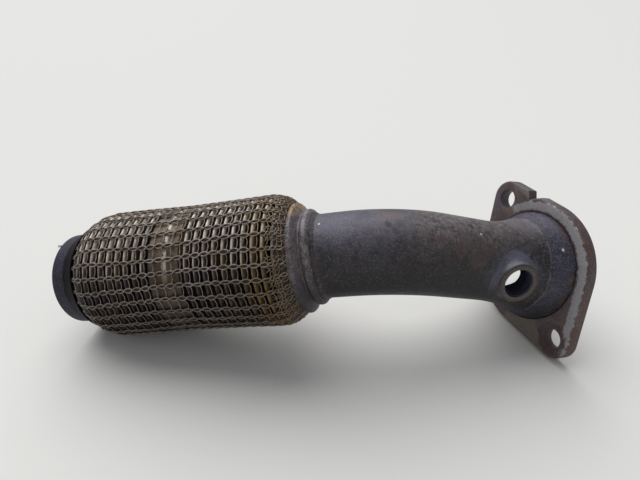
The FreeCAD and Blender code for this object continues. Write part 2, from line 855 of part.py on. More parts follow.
def make_bellows():
    """Gas-tight bellows: two groups of crests, a plain middle with a low ridge, and two cuffs."""
    body = new_body("bellows")
    wall = size("cuff_wall")
    valley = valley_radius
    left_start = cut_edge + size("left_first")
    right_start = -size("right_last") - size("right_pitch") * (size("right_crests") - 1)
    left_end = cut_edge + pipe_wall + play
    left_turn = cut_edge + size("collar_length") + size("flare_length")
    right_turn = -size("right_last") + size("right_pitch") + size("crest_foot") / 2 + wall
    right_end = size("rim_front") + size("neck_length")
    ridge = left_start + size("left_pitch") * (size("left_crests") - 1) + size("ridge_place")
    height = size("ridge_height")
    middle_in = left_start + size("left_pitch") * (size("left_crests") - 1) + size("crest_foot")
    middle_out = right_start - size("crest_foot")
    sleeve = crest_radius - height
    sketch = new_sketch(body, "wall")
    draw_outline(
        sketch,
        [
            (left_end, cuff_outer),
            (left_turn, cuff_outer),
            (left_turn + (valley - cuff_outer) / 2, valley),
            (middle_in, valley),
            (middle_in + height, sleeve),
            (ridge - height, sleeve),
            (ridge, sleeve + height),
            (ridge + height, sleeve),
            (middle_out - height, sleeve),
            (middle_out, valley),
            (right_turn, valley),
            (right_turn + wall, cuff_outer),
            (right_end, cuff_outer),
            (right_end, cuff_inner),
            (right_turn, cuff_inner),
            (right_turn - wall, valley - wall),
            (middle_out - wall, valley - wall),
            (middle_out - height - wall, sleeve - wall),
            (middle_in + height + wall, sleeve - wall),
            (middle_in + wall, valley - wall),
            (left_turn + (valley - cuff_outer) / 2 + wall / 2, valley - wall),
            (left_turn + wall / 2, cuff_inner),
            (left_end, cuff_inner),
        ],
    )
    turned(body, "Revolution", sketch, "tube")
    add_crests(body, "crest", "Revolution", draw_crest)
    add_crests(body, "hollow", "Groove", draw_hollow)
    return body


def knit_path(inset):
    """The knitted sleeve's outline over the bellows, or a line a little under it."""
    lip = cut_edge + size("collar_length") + size("flare_length")
    under_lip = flare_radius - size("skirt_wall") - play
    under_rim = rim_radius - size("skirt_wall") - play
    back = -size("rim_back")
    return [
        (lip + play, under_lip - inset),
        (lip + size("left_turn_run"), crest_radius + size("left_turn_over") - inset),
        (lip + size("left_shoulder_run"), left_shoulder_radius - inset),
        (cut_edge + size("waist_place"), crest_radius + size("waist_over") - inset),
        (back - size("right_shoulder_run"), crest_radius + size("right_shoulder_over") - inset),
        (back - size("right_turn_run"), crest_radius - size("right_turn_under") - inset),
        (back - play, under_rim - inset),
    ]


def make_knit_mesh():
    """Knitted wire sleeve over the bellows: raised rows along the axis, with gaps between them."""
    body = new_body("knit_mesh")
    wall = size("mesh_wall")
    outside = knit_path(as_size(0.0))
    inside = knit_path(wall)
    lip_end, rim_end = outside[0], outside[-1]
    tucked = (lip_end[0] - size("tuck"), lip_end[1] - size("tuck_drop"))
    last = (as_size(0.0), rim_end[1] - play)
    sketch = new_sketch(body, "section")
    draw_outline(
        sketch,
        [
            tucked,
            *outside,
            last,
            (last[0], last[1] - wall),
            *reversed(inside),
            (tucked[0], tucked[1] - wall),
        ],
    )
    turned(body, "Revolution", sketch, "wall")
    margin, hoop = size("gap_margin"), size("hoop_width")
    rows = count("gap_rows")
    first = lip_end[0] + margin
    length = (rim_end[0] - margin - first - hoop * (rows - 1)) / rows
    low = valley_radius
    high = left_shoulder_radius + wall
    gaps = new_sketch(body, "gaps")
    for row in range(rows):
        start = first + (length + hoop) * row
        draw_outline(
            gaps, [(start, low), (start, high), (start + length, high), (start + length, low)]
        )
    lanes = new_sketch(body, "lanes")
    sunk = knit_path(size("row_height"))
    draw_outline(lanes, [*sunk, (rim_end[0], high), (lip_end[0], high)])
    row_angle = as_size(360.0) / size("chains")
    gap_angle = row_angle - size("chain_width") / left_shoulder_radius * (180 / math.pi)
    lane_cut = turned(body, "Groove", lanes, "lane_cut", gap_angle)
    gap_cut = turned(body, "Groove", gaps, "gap_cut", gap_angle)
    repeated_round(body, [lane_cut, gap_cut], "rows", size("chains"))
    return body


# Build, lay down, check and write


def lay_down(bodies, own_places):
    """Lay the part on the floor at its resting slope, its origin under the outline's middle."""
    rest = placed(
        FreeCAD.Vector(), (Y_AXIS, -size("rest_rise").value), (X_AXIS, size("rest_roll").value)
    )
    for body in bodies:
        body.Placement = rest * own_places.get(body.Label, FreeCAD.Placement())
    doc.recompute()
    box = FreeCAD.BoundBox()
    for body in bodies:
        box.add(body.Shape.optimalBoundingBox(False))
    shift = FreeCAD.Vector(-box.Center.x, -box.Center.y, -box.ZMin)
    for body in bodies:
        place = body.Placement
        place.Base = place.Base + shift
        body.Placement = place
    doc.recompute()


def check(bodies):
    for item in doc.Objects:
        if "Invalid" in item.State or "Error" in item.State:
            raise RuntimeError(f"{item.Label} failed: {item.State}")
    for body in bodies:
        shape = body.Shape
        if shape.isNull() or not shape.isValid() or not shape.Solids:
            raise RuntimeError(f"{body.Label} has no valid solid")


def main():
    bodies = [
        make_left_cap(),
        make_left_cap_weld(),
        make_pipe_stub(),
        make_liner(),
        make_bellows(),
        make_knit_mesh(),
        make_right_cap(),
        make_right_cap_weld(),
        make_front_pipe(),
        make_sensor_boss(),
        make_sensor_boss_weld(),
        make_flange(),
        make_flange_weld(),
    ]
    own_places = {
        "sensor_boss": BOSS_PLACE,
        "sensor_boss_weld": BOSS_PLACE,
        "flange": FLANGE_PLACE,
        "flange_weld": FLANGE_PLACE,
    }
    lay_down(bodies, own_places)
    check(bodies)
    os.makedirs("parts", exist_ok=True)
    for body in bodies:
        body.Shape.exportStep(f"parts/{body.Label}.step")
        print(body.Label, "solids", len(body.Shape.Solids), "volume", round(body.Shape.Volume, 1))


main()
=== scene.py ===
"""Front muffler: looks of an exhaust front pipe with a knitted flexible coupling."""

import math
import random

import bpy
import numpy as np
from mathutils import Matrix, Vector, noise
from mathutils.geometry import tessellate_polygon


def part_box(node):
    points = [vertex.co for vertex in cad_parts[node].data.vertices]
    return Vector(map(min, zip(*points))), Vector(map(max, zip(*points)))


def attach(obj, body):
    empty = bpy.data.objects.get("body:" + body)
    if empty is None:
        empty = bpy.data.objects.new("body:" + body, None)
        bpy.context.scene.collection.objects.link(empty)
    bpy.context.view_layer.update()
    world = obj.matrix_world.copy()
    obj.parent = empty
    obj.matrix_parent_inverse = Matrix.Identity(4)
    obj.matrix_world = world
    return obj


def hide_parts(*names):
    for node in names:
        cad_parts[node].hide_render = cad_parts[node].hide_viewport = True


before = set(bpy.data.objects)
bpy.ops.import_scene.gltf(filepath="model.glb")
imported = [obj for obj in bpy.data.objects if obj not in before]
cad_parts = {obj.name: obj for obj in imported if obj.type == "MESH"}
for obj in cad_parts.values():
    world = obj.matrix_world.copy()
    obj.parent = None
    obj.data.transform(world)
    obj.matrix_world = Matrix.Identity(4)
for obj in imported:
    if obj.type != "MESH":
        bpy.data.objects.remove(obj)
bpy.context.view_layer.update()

bl_info = {
    "name": "Front Muffler Looks",
    "version": (1, 0, 0),
    "blender": (4, 5, 0),
    "location": "3D View > Sidebar > Muffler",
    "description": "Builds the visible pieces of an exhaust front pipe",
    "category": "Object",
}

TAU = 2 * math.pi
MM = 0.001
SEAT = 0.05 * MM  # gap between round pieces that seat in each other

# Points round a full turn
ROUND = 128
CAP_ROUND = 160
WELD_ROUND = 240
FLANGE_WELD_ROUND = 200
HOSE_ROUND = 96
HOLE_ROUND = 64

# Steps along shapes
BELLOWS_ROWS = 400
THREAD_ROWS = 60
EAR_STEPS = 40
DISC_STEPS = 70

FOOT_SEARCH = 24 * MM  # how far down from the boss's face its foot is sought
HALVINGS = 40  # halvings of that search
FLOOR_HALF = 12.0  # half the floor's side


def length(name, description, millimetres):
    return bpy.props.FloatProperty(
        name=name, description=description, default=millimetres * MM, unit="LENGTH", precision=5
    )


def angle(name, description, degrees):
    return bpy.props.FloatProperty(
        name=name, description=description, default=math.radians(degrees), subtype="ANGLE"
    )


def number(name, description, value):
    return bpy.props.FloatProperty(name=name, description=description, default=value)


def whole(name, description, value):
    return bpy.props.IntProperty(name=name, description=description, default=value, min=1)


def direction(name, description, *value):
    return bpy.props.FloatVectorProperty(name=name, description=description, default=value)


def colour(name, description, *screen):
    """A colour given as it looks on screen, from 0 to 255."""
    linear = [((c / 255 + 0.055) / 1.055) ** 2.4 if c > 10 else c / 255 / 12.92 for c in screen]
    return bpy.props.FloatVectorProperty(
        name=name, description=description, default=linear, size=3, subtype="COLOR", min=0.0, max=1.0
    )


class PlaceSettings(bpy.types.PropertyGroup):
    rest_rise: angle("Rise", "Slope of the coupling's axis on the floor", 12.16)
    rest_roll: angle("Roll", "Turn of the bend's plane about the coupling's axis", -47.6)
    flange_heading: angle("Flange heading", "Flange's axis in the bend's plane", 39.7)
    flange_lift: angle("Flange lift", "Flange's axis out of the bend's plane", 5.1)
    flange_roll: angle("Flange roll", "Turn of the bolt line", 173.8)
    flange_shift: length("Flange shift", "Sideways set of the flange in the bend's plane", 0.85)
    flange_rise: length("Flange rise", "Sideways set out of the bend's plane", 0.6)
    boss_upstream: length("Boss place", "Flange's near face back to the boss", 36.2)
    boss_turn: angle("Boss turn", "Position of the boss round the tube", 220.0)
    boss_tilt: angle("Boss tilt", "Lean of the boss away from the flange", 10.0)
    boss_face: length("Boss height", "Tube's axis to the boss's face", 29.7)


class TubeSettings(bpy.types.PropertyGroup):
    radius: length("Radius", "Outside of the tube", 24.3)
    wall: length("Wall", "Wall of the tube", 1.6)
    insert: length("Insert", "How far the tube runs into the coupling", 8.0)
    bend_start: length("Bend start", "Rim to the start of the bend", 22.8)
    bend_radius: length("Bend radius", "Radius of the bend's centreline", 77.3)
    bend_angle: angle("Bend", "Angle that the bend turns", 42.1)
    run: length("Run", "End of the bend to the flange", 73.1)
    bell_length: length("Flare length", "Length over which the tube flares out", 45.0)
    bell_radius: length("Flare radius", "Outside of the flared end", 34.4)
    bell_seat: length("Flare seat", "How far the flared end stands in the flange", 6.2)
    bell_power: number("Flare curve", "How late the flare opens", 2.2)
    unevenness: length("Unevenness", "Height of the tube's slight waves", 0.12)


class CouplingSettings(bpy.types.PropertyGroup):
    length: length("Length", "Cut edge of the collar to the rim", 152.6)
    collar_radius: length("Collar radius", "Outside of the cut collar", 28.5)
    collar_length: length("Collar length", "Straight part of the collar", 8.5)
    flare_length: length("Flare length", "Collar's flare up to the mesh", 9.4)
    flare_radius: length("Flare radius", "Outside of the flare's lip", 33.4)
    burr_angle: angle("Burr", "Place of the torn burr round the collar's cut edge", 148.0)
    cap_wall: length("Cap wall", "Wall of the caps at their necks", 2.0)
    skirt_wall: length("Skirt wall", "Wall of the caps over the mesh", 1.5)
    cap_dent: length("Dents", "Height of the caps' slight waves", 0.12)
    rim_radius: length("Rim radius", "Outside of the end cap's rim", 32.0)
    rim_back: length("Rim back", "Rim's lip back over the mesh", 1.7)
    rim_front: length("Rim front", "Rim's front, down to the neck", 4.4)
    cap_lean: angle("Cap lean", "Lean of the end cap's rim off square", 2.4)
    cap_lean_up: angle("Upward", "Upward direction round the axis, to which the rim leans", 106.3)
    neck_radius: length("Neck radius", "Outside of the end cap's bead", 27.6)
    neck_length: length("Neck length", "Length of the end cap's neck", 5.3)
    weld_leg: length("Weld leg", "Leg of the weld between neck and tube", 2.6)
    cuff: length("Cuff", "Bellows' cuff over the tube's outside", 0.9)
    sheet: length("Sheet", "Wall of the bellows", 0.5)
    crest_radius: length("Crest radius", "Outside of the bellows' crests", 38.3)
    valley_radius: length("Valley radius", "Outside of the bellows' valleys", 31.6)
    left_crest: length("Left crest", "Outermost crest beside the collar, from the rim", 127.7)
    left_pitch: length("Left pitch", "Pitch of the crests beside the collar", 5.43)
    left_count: whole("Left crests", "Crests in the group beside the collar", 9)
    right_crest: length("Right crest", "Outermost crest beside the end cap, from the rim", 7.18)
    right_pitch: length("Right pitch", "Pitch of the crests beside the end cap", 5.62)
    right_count: whole("Right crests", "Crests in the group beside the end cap", 10)
    ridge_place: length("Ridge place", "Low ridge in the plain middle, from the rim", 70.5)


class KnitSettings(bpy.types.PropertyGroup):
    left_shoulder: length("Left shoulder", "Outside of the sleeve beside the collar", 39.6)
    waist: length("Waist", "Outside of the sleeve at its middle", 38.3)
    right_shoulder: length("Right shoulder", "Outside of the sleeve beside the end cap", 38.9)
    waist_place: length("Waist place", "Cut edge of the collar to the waist", 86.4)
    chains: whole("Chains", "Knitted rows round the sleeve", 30)
    turn: angle("Turn", "Position of the first row", 6.0)
    half_band: length("Half band", "Half the width of a row's loops", 1.12)
    chain_wire: length("Row wire", "Radius of the wires in a row", 0.36)
    cross_wire: length("Cross wire", "Radius of the wires between rows", 0.26)
    back_width: length("Back width", "Width of the inner wires seen through a row", 1.9)
    back_depth: length("Back depth", "How far the inner wires lie under a row", 0.5)
    loop_shift: length("Loop shift", "Loops' middles from the valleys, towards the collar", 1.0)
    crowded: length("Crowded loops", "Pitch of the loops gathered at the end cap", 2.4)
    cross_place: length("Cross place", "Wires between rows, from the loops' middles", 1.15)
    cross_bow: length("Cross bow", "Bow of the wires between rows", 0.6)
    jitter: length("Jitter", "How uneven the loops are", 0.38)
    samples: whole("Samples", "Points along a loop", 10)
    sides: whole("Sides", "Sides of a row's wires", 7)


class FlangeSettings(bpy.types.PropertyGroup):
    thickness: length("Thickness", "Thickness of the flange", 8.0)
    disc_radius: length("Disc radius", "Round middle of the flange", 41.8)
    ear_radius: length("Ear radius", "Round end of each ear", 12.0)
    ear_distance: length("Ear distance", "Centre to each bolt hole", 47.85)
    hole_radius: length("Hole radius", "Bolt hole", 6.1)
    bore_radius: length("Bore radius", "Bore for the flared end", 34.7)
    near_edge: length("Near edge", "Rounding of the near edge", 1.6)
    far_edge: length("Far edge", "Rounding of the gasket side's edge", 0.4)
    notch_angle: angle("Notch angle", "Direction of the notch's floor", -67.5)
    notch_x: length("Notch X", "Notch's inner corner along the bolt line", 40.1)
    notch_y: length("Notch Y", "Notch's inner corner across the bolt line", 15.1)


class BossSettings(bpy.types.PropertyGroup):
    radius: length("Radius", "Outside of the boss", 12.0)
    thread_radius: length("Thread radius", "Core of the threaded hole", 8.2)
    thread_pitch: length("Thread pitch", "Pitch of the thread", 1.5)
    thread_depth: length("Thread depth", "Depth of the thread", 0.45)
    edge: length("Edge", "Rounding of the boss's rim", 1.0)
    lead: length("Lead-in", "Chamfer at the hole's mouth", 1.5)
    spigot_radius: length("Spigot radius", "Outside of the boss's spigot in the tube's wall", 9.5)
    spigot_length: length("Spigot length", "How far the spigot reaches into the tube", 7.0)
    weld_leg: length("Weld leg", "Leg of the smooth weld round the boss", 4.6)


class Palette(bpy.types.PropertyGroup):
    pipe: colour("Tube", "Oxidised tube", 89, 86, 95)
    pipe_dark: colour("Tube, dark", "Darker patches on the tube", 51, 49, 58)
    pipe_blue: colour("Tube, blue", "Heat tint beside the flange", 66, 68, 92)
    pipe_brown: colour("Tube, brown", "Rust film on the tube", 84, 72, 66)
    # pipe_low: painted shade on the tube's underside; the welds also use it as a dark tone
    pipe_low: colour("Tube, below", "Soot on the underside", 26, 24, 28)
    pipe_dust: colour("Tube, dust", "Light film on the bend", 146, 133, 128)
    speck: colour("Specks", "Light specks in the scale", 128, 122, 118)
    pit: colour("Pits", "Dark pits in the scale", 34, 31, 33)
    lavender: colour("Boss", "Heat tint round the boss", 92, 93, 110)
    # bell: painted light on the flare's upper side
    bell: colour("Flare, top", "Brownish film on top of the flare", 112, 107, 114)
    face: colour("Boss's face", "Worn face of the boss", 66, 58, 56)
    # thread_light: lighter colour towards the thread's crests
    thread_light: colour("Thread, light", "Rubbed crests of the thread", 92, 94, 116)
    thread: colour("Thread", "Blued thread", 26, 30, 52)
    collar: colour("Collar", "Scaled collar", 52, 52, 74)
    # flare: painted shade on the collar's flare
    flare: colour("Collar's flare", "Blackened flare of the collar", 10, 10, 14)
    cap: colour("End cap", "Heat-tinted end cap", 112, 108, 118)
    cap_speck: colour("End cap, specks", "Light specks on the end cap", 164, 155, 148)
    weld: colour("Weld", "Dull weld", 84, 76, 74)
    wire: colour("Wire", "Knitted wire", 137, 126, 118)
    # wire_light: painted highlights on the wire
    wire_light: colour("Wire, light", "Rubbed tops of the wire", 204, 192, 178)
    # wire_dark: sooted wire, also its painted shade on the lower side
    wire_dark: colour("Wire, dark", "Sooted wire", 88, 76, 68)
    # back: sooted inner layer of the knit, dark as painted shade under the rows
    back: colour("Inner wire", "Sooted inner layer of the knit", 34, 28, 24)
    # bar: brown film on the crests, and their painted shade
    bar: colour("Bellows, shaded", "Brown film on the crests", 96, 83, 70)
    # crest: the crests' colour painted as lit, also the painted highlight on the ridge
    crest: colour("Bellows", "Dull stainless crests", 234, 225, 208)
    middle: colour("Bellows' middle", "Brown-grey film on the plain middle", 142, 123, 101)
    # band_dark: brown stain on the plain middle, also its painted shade below
    band_dark: colour("Bellows' middle, dark", "Brown stain on the plain middle", 58, 44, 32)
    burnt: colour("Bellows, blued", "Blue heat tint between the crests", 34, 38, 58)
    # valley: painted shade in the valleys and on the lower side
    valley: colour("Bellows, stained", "Soot in the valleys", 30, 24, 19)
    gold: colour("Ochre, light", "Light ochre rust on top of the rim", 176, 138, 70)
    ochre: colour("Ochre", "Ochre rust", 124, 100, 64)
    flange_grey: colour("Flange, grey", "Scaled near face", 156, 154, 156)
    flange_brown: colour("Flange, brown", "Rusted rim", 78, 65, 63)
    olive: colour("Flange, olive", "Olive-grey film on the lower ear", 116, 108, 98)
    rust: colour("Rust", "Red-brown rust", 96, 64, 54)
    purple: colour("Rust, purple", "Purple-brown rust round the holes", 72, 50, 50)
    chip: colour("Chip", "Bright chips", 214, 214, 210)
    soot: colour("Soot", "Soot inside the tube", 30, 27, 27)
    floor: colour("Floor", "Pale floor", 226, 225, 221)


class StageSettings(bpy.types.PropertyGroup):
    camera_place: direction("Camera", "Camera in the coupling's frame", 0.07965, -0.25946, -0.07328)
    camera_look: direction("Look", "Camera's viewing direction there", -0.25141, 0.92185, 0.29496)
    camera_up: direction("Up", "Camera's upward direction there", 0.09698, -0.27922, 0.95531)
    lens: number("Lens", "Focal length on a sensor 36 mm wide", 27.06)
    key_place: direction("Key place", "Where the light from above and behind shines from", -0.5, 0.75, 1.25)
    key_power: number("Key light", "Strength of that light", 2.6)
    key_spread: angle("Key spread", "Softness of that light", 70.0)
    fill_place: direction("Fill place", "Where the light beside the camera stands", 0.3, -1.2, 0.8)
    fill_power: number("Fill light", "Power of that light", 0.6)
    fill_size: number("Fill size", "Side of that light, in metres", 0.9)
    sky: number("Sky", "Strength of the surrounding light", 0.36)


GROUPS = {
    "muffler_place": PlaceSettings,
    "muffler_tube": TubeSettings,
    "muffler_coupling": CouplingSettings,
    "muffler_knit": KnitSettings,
    "muffler_flange": FlangeSettings,
    "muffler_boss": BossSettings,
    "muffler_palette": Palette,
    "muffler_stage": StageSettings,
}


def settings(*names):
    """One group of settings, or a list of several."""
    found = [getattr(bpy.context.scene, f"muffler_{name}") for name in names]
    return found if len(found) > 1 else found[0]


# Frames of the coupling, the flange and the boss


def turn(axis, radians):
    return Matrix.Rotation(radians, 4, axis)


def coupling_frame():
    """The coupling's frame in the row: X along its axis with zero at the rim."""
    place, c = settings("place", "coupling")
    rest = turn("Y", -place.rest_rise) @ turn("X", place.rest_roll)
    low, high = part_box("pipe_stub")
    middle = (Vector(low) + Vector(high)) / 2
    stub_middle = c.length - (c.collar_length + c.flare_length) / 2
    return Matrix.Translation(middle + rest @ Vector((stub_middle, 0, 0))) @ rest


def bend_point(a):
    """The bend's centreline, an angle on from its start."""
    tube = settings("tube")
    radius = tube.bend_radius
    return Vector((tube.bend_start + radius * math.sin(a), radius * (1 - math.cos(a)), 0))


def tube_directions():
    """Directions along and across the tube's run, its start and its end at the flange."""
    tube = settings("tube")
    along = Vector((math.cos(tube.bend_angle), math.sin(tube.bend_angle), 0))
    start = bend_point(tube.bend_angle)
    return along, Vector((-along.y, along.x, 0)), start, start + along * tube.run


def flange_local():
    place = settings("place")
    _, across, _, end = tube_directions()
    centre = end - across * place.flange_shift + Vector((0, 0, place.flange_rise))
    turns = turn("Z", place.flange_heading) @ turn("Y", math.pi / 2 - place.flange_lift)
    return Matrix.Translation(centre) @ turns @ turn("Z", place.flange_roll)


def boss_local():
    place, tube = settings("place", "tube")
    along, _, _, end = tube_directions()
    stand = turn("Z", tube.bend_angle) @ turn("X", place.boss_turn - math.pi / 2)
    centre = end - along * place.boss_upstream + stand @ Vector((0, 0, place.boss_face))
    return Matrix.Translation(centre) @ stand @ turn("Y", -place.boss_tilt)


# Mesh helpers


def make_piece(name, mesh_data, at, material, node=None, smooth_degrees=40.0):
    """A mesh given in its own frame, in its place, that stands for a CAD node if one is named."""
    verts, faces = mesh_data
    mesh = bpy.data.meshes.new(name)
    mesh.from_pydata([tuple(v) for v in verts], [], [tuple(f) for f in faces])
    mesh.transform(at)
    mesh.validate()
    mesh.update()
    piece = bpy.data.objects.new(name, mesh)
    bpy.context.collection.objects.link(piece)
    mesh.materials.append(material)
    shade(piece, smooth_degrees)
    bpy.context.view_layer.update()
    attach(piece, "root")
    if node:
        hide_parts(node)
    return piece


def shade(piece, degrees):
    mesh = piece.data
    mesh.polygons.foreach_set("use_smooth", [True] * len(mesh.polygons))
    mesh.set_sharp_from_angle(angle=math.radians(degrees))


def shares(count):
    """Even shares from 0 to 1."""
    return [k / count for k in range(count + 1)]


def angles(count):
    """Even angles of a full turn."""
    return [TAU * j / count for j in range(count)]


def grid_faces(rows, columns, closed=True, start=0, flip=False):
    """Faces between rings of points, with the last ring joined to the first where closed."""
    faces = []
    for i in range(rows if closed else rows - 1):
        here, below = start + i * columns, start + (i + 1) % rows * columns
        for j in range(columns):
            right = (j + 1) % columns
            face = (here + j, here + right, below + right, below + j)
            faces.append(face[::-1] if flip else face)
    return faces


def softened(corners, steps=6):
    """A path through (x, r) or (x, r, rounding) corners with its corners rounded."""
    path = []
    count = len(corners)
    for i, corner in enumerate(corners):
        here = Vector(corner[:2])
        rounding = corner[2] if len(corner) > 2 else 0.0
        if rounding <= 0 or i in (0, count - 1) and corners[0][:2] != corners[-1][:2]:
            path.append(here)
            continue
        before = Vector(corners[i - 1][:2]) - here
        after = Vector(corners[(i + 1) % count][:2]) - here
        half = before.angle(after) / 2
        reach = min(rounding / math.tan(half), before.length * 0.49, after.length * 0.49)
        first, last = here + before.normalized() * reach, here + after.normalized() * reach
        path += [first.lerp(here, t).lerp(here.lerp(last, t), t) for t in shares(steps)]
    return path


def about_x(x, r, a):
    return x, r * math.cos(a), r * math.sin(a)


def revolved(path, columns, change=lambda x, r, a: (x, r)):
    """A closed (x, r) path turned about X, where change(x, r, angle) may move a point."""
    verts = [about_x(*change(x, r, a), a) for x, r in path for a in angles(columns)]
    return verts, grid_faces(len(path), columns)


def stacked(rows, columns):
    """Rings of points about Z, from (radius, height) rows of one value or one a column."""
    a = np.array(angles(columns))
    verts = []
    for r, z in rows:
        points = np.broadcast_arrays(r * np.cos(a), r * np.sin(a), z)
        verts += np.column_stack(points).tolist()
    return verts


def quarter(steps):
    """Sines and cosines over a quarter turn."""
    return [(math.sin(math.pi / 2 * t), math.cos(math.pi / 2 * t)) for t in shares(steps)]


def wave(x, y, z, seed=0.0):
    return noise.noise(Vector((x + seed, y - seed, z + 2 * seed)))


def ring_wave(x, a, turns, along, seed):
    """Smooth noise on a ring that closes after one turn."""
    return wave(math.cos(a) * turns, math.sin(a) * turns, x * along, seed)


def wires(paths, radius, sides, flat=1.0):
    """Thin tubes along open paths of points about the coupling's axis, flat of full height."""
    verts, faces = [], []
    for points in paths:
        points = np.asarray(points)
        steps = np.gradient(points, axis=0)
        steps /= np.linalg.norm(steps, axis=1)[:, None]
        outward = points * np.array((0.0, 1.0, 1.0))
        outward /= np.linalg.norm(outward, axis=1)[:, None]
        side = np.cross(steps, outward)
        side /= np.linalg.norm(side, axis=1)[:, None]
        lift = np.cross(side, steps)
        start, count = len(verts), len(points)
        for a in angles(sides):
            verts += (points + radius * (math.cos(a) * side + flat * math.sin(a) * lift)).tolist()
        for j in range(sides):
            here, there = start + j * count, start + (j + 1) % sides * count
            faces += [(here + i, here + i + 1, there + i + 1, there + i) for i in range(count - 1)]
    return verts, faces


# Material helpers


class Nodes:
    """Short ways to add and join nodes of one tree."""

    def __init__(self, tree):
        self.tree = tree

    def put(self, socket, value):
        if isinstance(value, bpy.types.NodeSocket):
            self.tree.links.new(value, socket)
        elif socket.type == "RGBA":
            socket.default_value = (*value[:3], 1.0)
        else:
            socket.default_value = value

    def add(self, kind, sockets=None, **attributes):
        node = self.tree.nodes.new(kind)
        for key, value in attributes.items():
            setattr(node, key, value)
        for key, value in (sockets or {}).items():
            self.put(node.inputs[key], value)
        return node

    def maths(self, operation, first, second=0.0):
        return self.add("ShaderNodeMath", {0: first, 1: second}, operation=operation).outputs[0]

    def times(self, first, second):
        return self.maths("MULTIPLY", first, second)

    def plus(self, first, second):
        return self.maths("ADD", first, second)

    def minus(self, first, second):
        return self.maths("SUBTRACT", first, second)

    def away(self, value, place):
        """Distance of a value from a place."""
        return self.maths("ABSOLUTE", self.minus(value, place))

    def reach(self, first, second):
        """Distance from the axis to which two coordinates are square."""
        squares = [self.maths("POWER", value, 2.0) for value in (first, second)]
        return self.maths("SQRT", self.plus(*squares))

    def span(self, value, low, high, out_low=0.0, out_high=1.0):
        """value remapped smoothly from low..high to out_low..out_high."""
        sockets = {"Value": value, "From Min": low, "From Max": high, "To Min": out_low, "To Max": out_high}
        return self.add("ShaderNodeMapRange", sockets, interpolation_type="SMOOTHSTEP").outputs[0]

    def ramp(self, value, low, high):
        """Mask of a measure between two limits in millimetres."""
        return self.span(value, low * MM, high * MM)

    def mix(self, share, first, second):
        node = self.add("ShaderNodeMix", data_type="RGBA")
        sides = [socket for socket in node.inputs if socket.type == "RGBA"]
        for socket, value in zip((node.inputs[0], *sides), (share, first, second)):
            self.put(socket, value)
        return next(socket for socket in node.outputs if socket.type == "RGBA")

    def noise(self, vector, scale, detail=4.0, roughness=0.55, distortion=0.0):
        sockets = {"Vector": vector, "Scale": scale, "Detail": detail}
        sockets |= {"Roughness": roughness, "Distortion": distortion}
        return self.add("ShaderNodeTexNoise", sockets).outputs["Fac"]

    def group(self, name, **sockets):
        node = self.tree.nodes.new("ShaderNodeGroup")
        node.node_tree = bpy.data.node_groups[name]
        for key, value in sockets.items():
            self.put(node.inputs[key], value)
        return node.outputs


def new_group(name, inputs, outputs):
    """A shader node group whose inputs are vectors for None, colours for tuples, else values."""
    group = bpy.data.node_groups.new(name, "ShaderNodeTree")
    for label, value in inputs.items():
        kind = "Vector" if value is None else "Color" if isinstance(value, tuple) else "Float"
        socket = group.interface.new_socket(label, in_out="INPUT", socket_type=f"NodeSocket{kind}")
        if value is not None:
            socket.default_value = value
    for label in outputs:
        kind = "Color" if label == "Colour" else "Float"
        group.interface.new_socket(label, in_out="OUTPUT", socket_type=f"NodeSocket{kind}")
    n = Nodes(group)
    return n, n.add("NodeGroupInput").outputs, n.add("NodeGroupOutput").inputs


def make_grain_group():
    """Fine grain, broad patches, light specks, dark pits and a height for bump."""
    outputs = ("Fine", "Patches", "Specks", "Pits", "Height")
    n, given, out = new_group("surface_grain", {"Vector": None, "Scale": 1.0}, outputs)

    def scaled(frequency, *form):
        return n.noise(given["Vector"], n.times(given["Scale"], frequency), *form)

    fine, middle = scaled(1300.0, 2.0, 0.7), scaled(320.0, 6.0, 0.65)
    broad, coarse = scaled(55.0, 5.0, 0.6, 0.4), scaled(760.0, 2.0, 0.6)
    grain = n.plus(n.times(fine, 0.5), n.times(coarse, 0.5))
    n.put(out["Fine"], n.plus(n.times(fine, 0.5), n.times(middle, 0.5)))
    n.put(out["Patches"], n.span(broad, 0.35, 0.68))
    n.put(out["Specks"], n.span(grain, 0.53, 0.64))
    n.put(out["Pits"], n.span(grain, 0.46, 0.36))
    n.put(out["Height"], n.plus(n.times(grain, 0.7), middle))


def make_rust_group():
    """Rust that gathers in broad patches with speckled borders."""
    n, given, out = new_group("rust_patches", {"Vector": None, "Amount": 0.5, "Scale": 1.0}, ("Mask",))
    broad = n.noise(given["Vector"], n.times(given["Scale"], 70.0), 6.0, 0.62, 0.6)
    speck = n.noise(given["Vector"], n.times(given["Scale"], 600.0), 3.0, 0.7)
    total = n.plus(n.times(broad, 0.68), n.times(speck, 0.32))
    edge = n.minus(0.74, n.times(given["Amount"], 0.46))
    n.put(out["Mask"], n.span(n.minus(total, edge), -0.035, 0.06))


def make_spot_group():
    """A soft round spot with a ragged border about a point."""
    inputs = {"Vector": None, "Centre": None, "Radius": 0.003, "Softness": 0.001, "Ragged": 0.001}
    n, given, out = new_group("spot", inputs, ("Mask",))
    sockets = {0: given["Vector"], 1: given["Centre"]}
    reach = n.add("ShaderNodeVectorMath", sockets, operation="DISTANCE").outputs["Value"]
    uneven = n.minus(n.noise(given["Vector"], 260.0, 3.0), 0.5)
    reach = n.plus(reach, n.times(uneven, given["Ragged"]))
    n.put(out["Mask"], n.span(reach, given["Radius"], n.minus(given["Radius"], given["Softness"])))


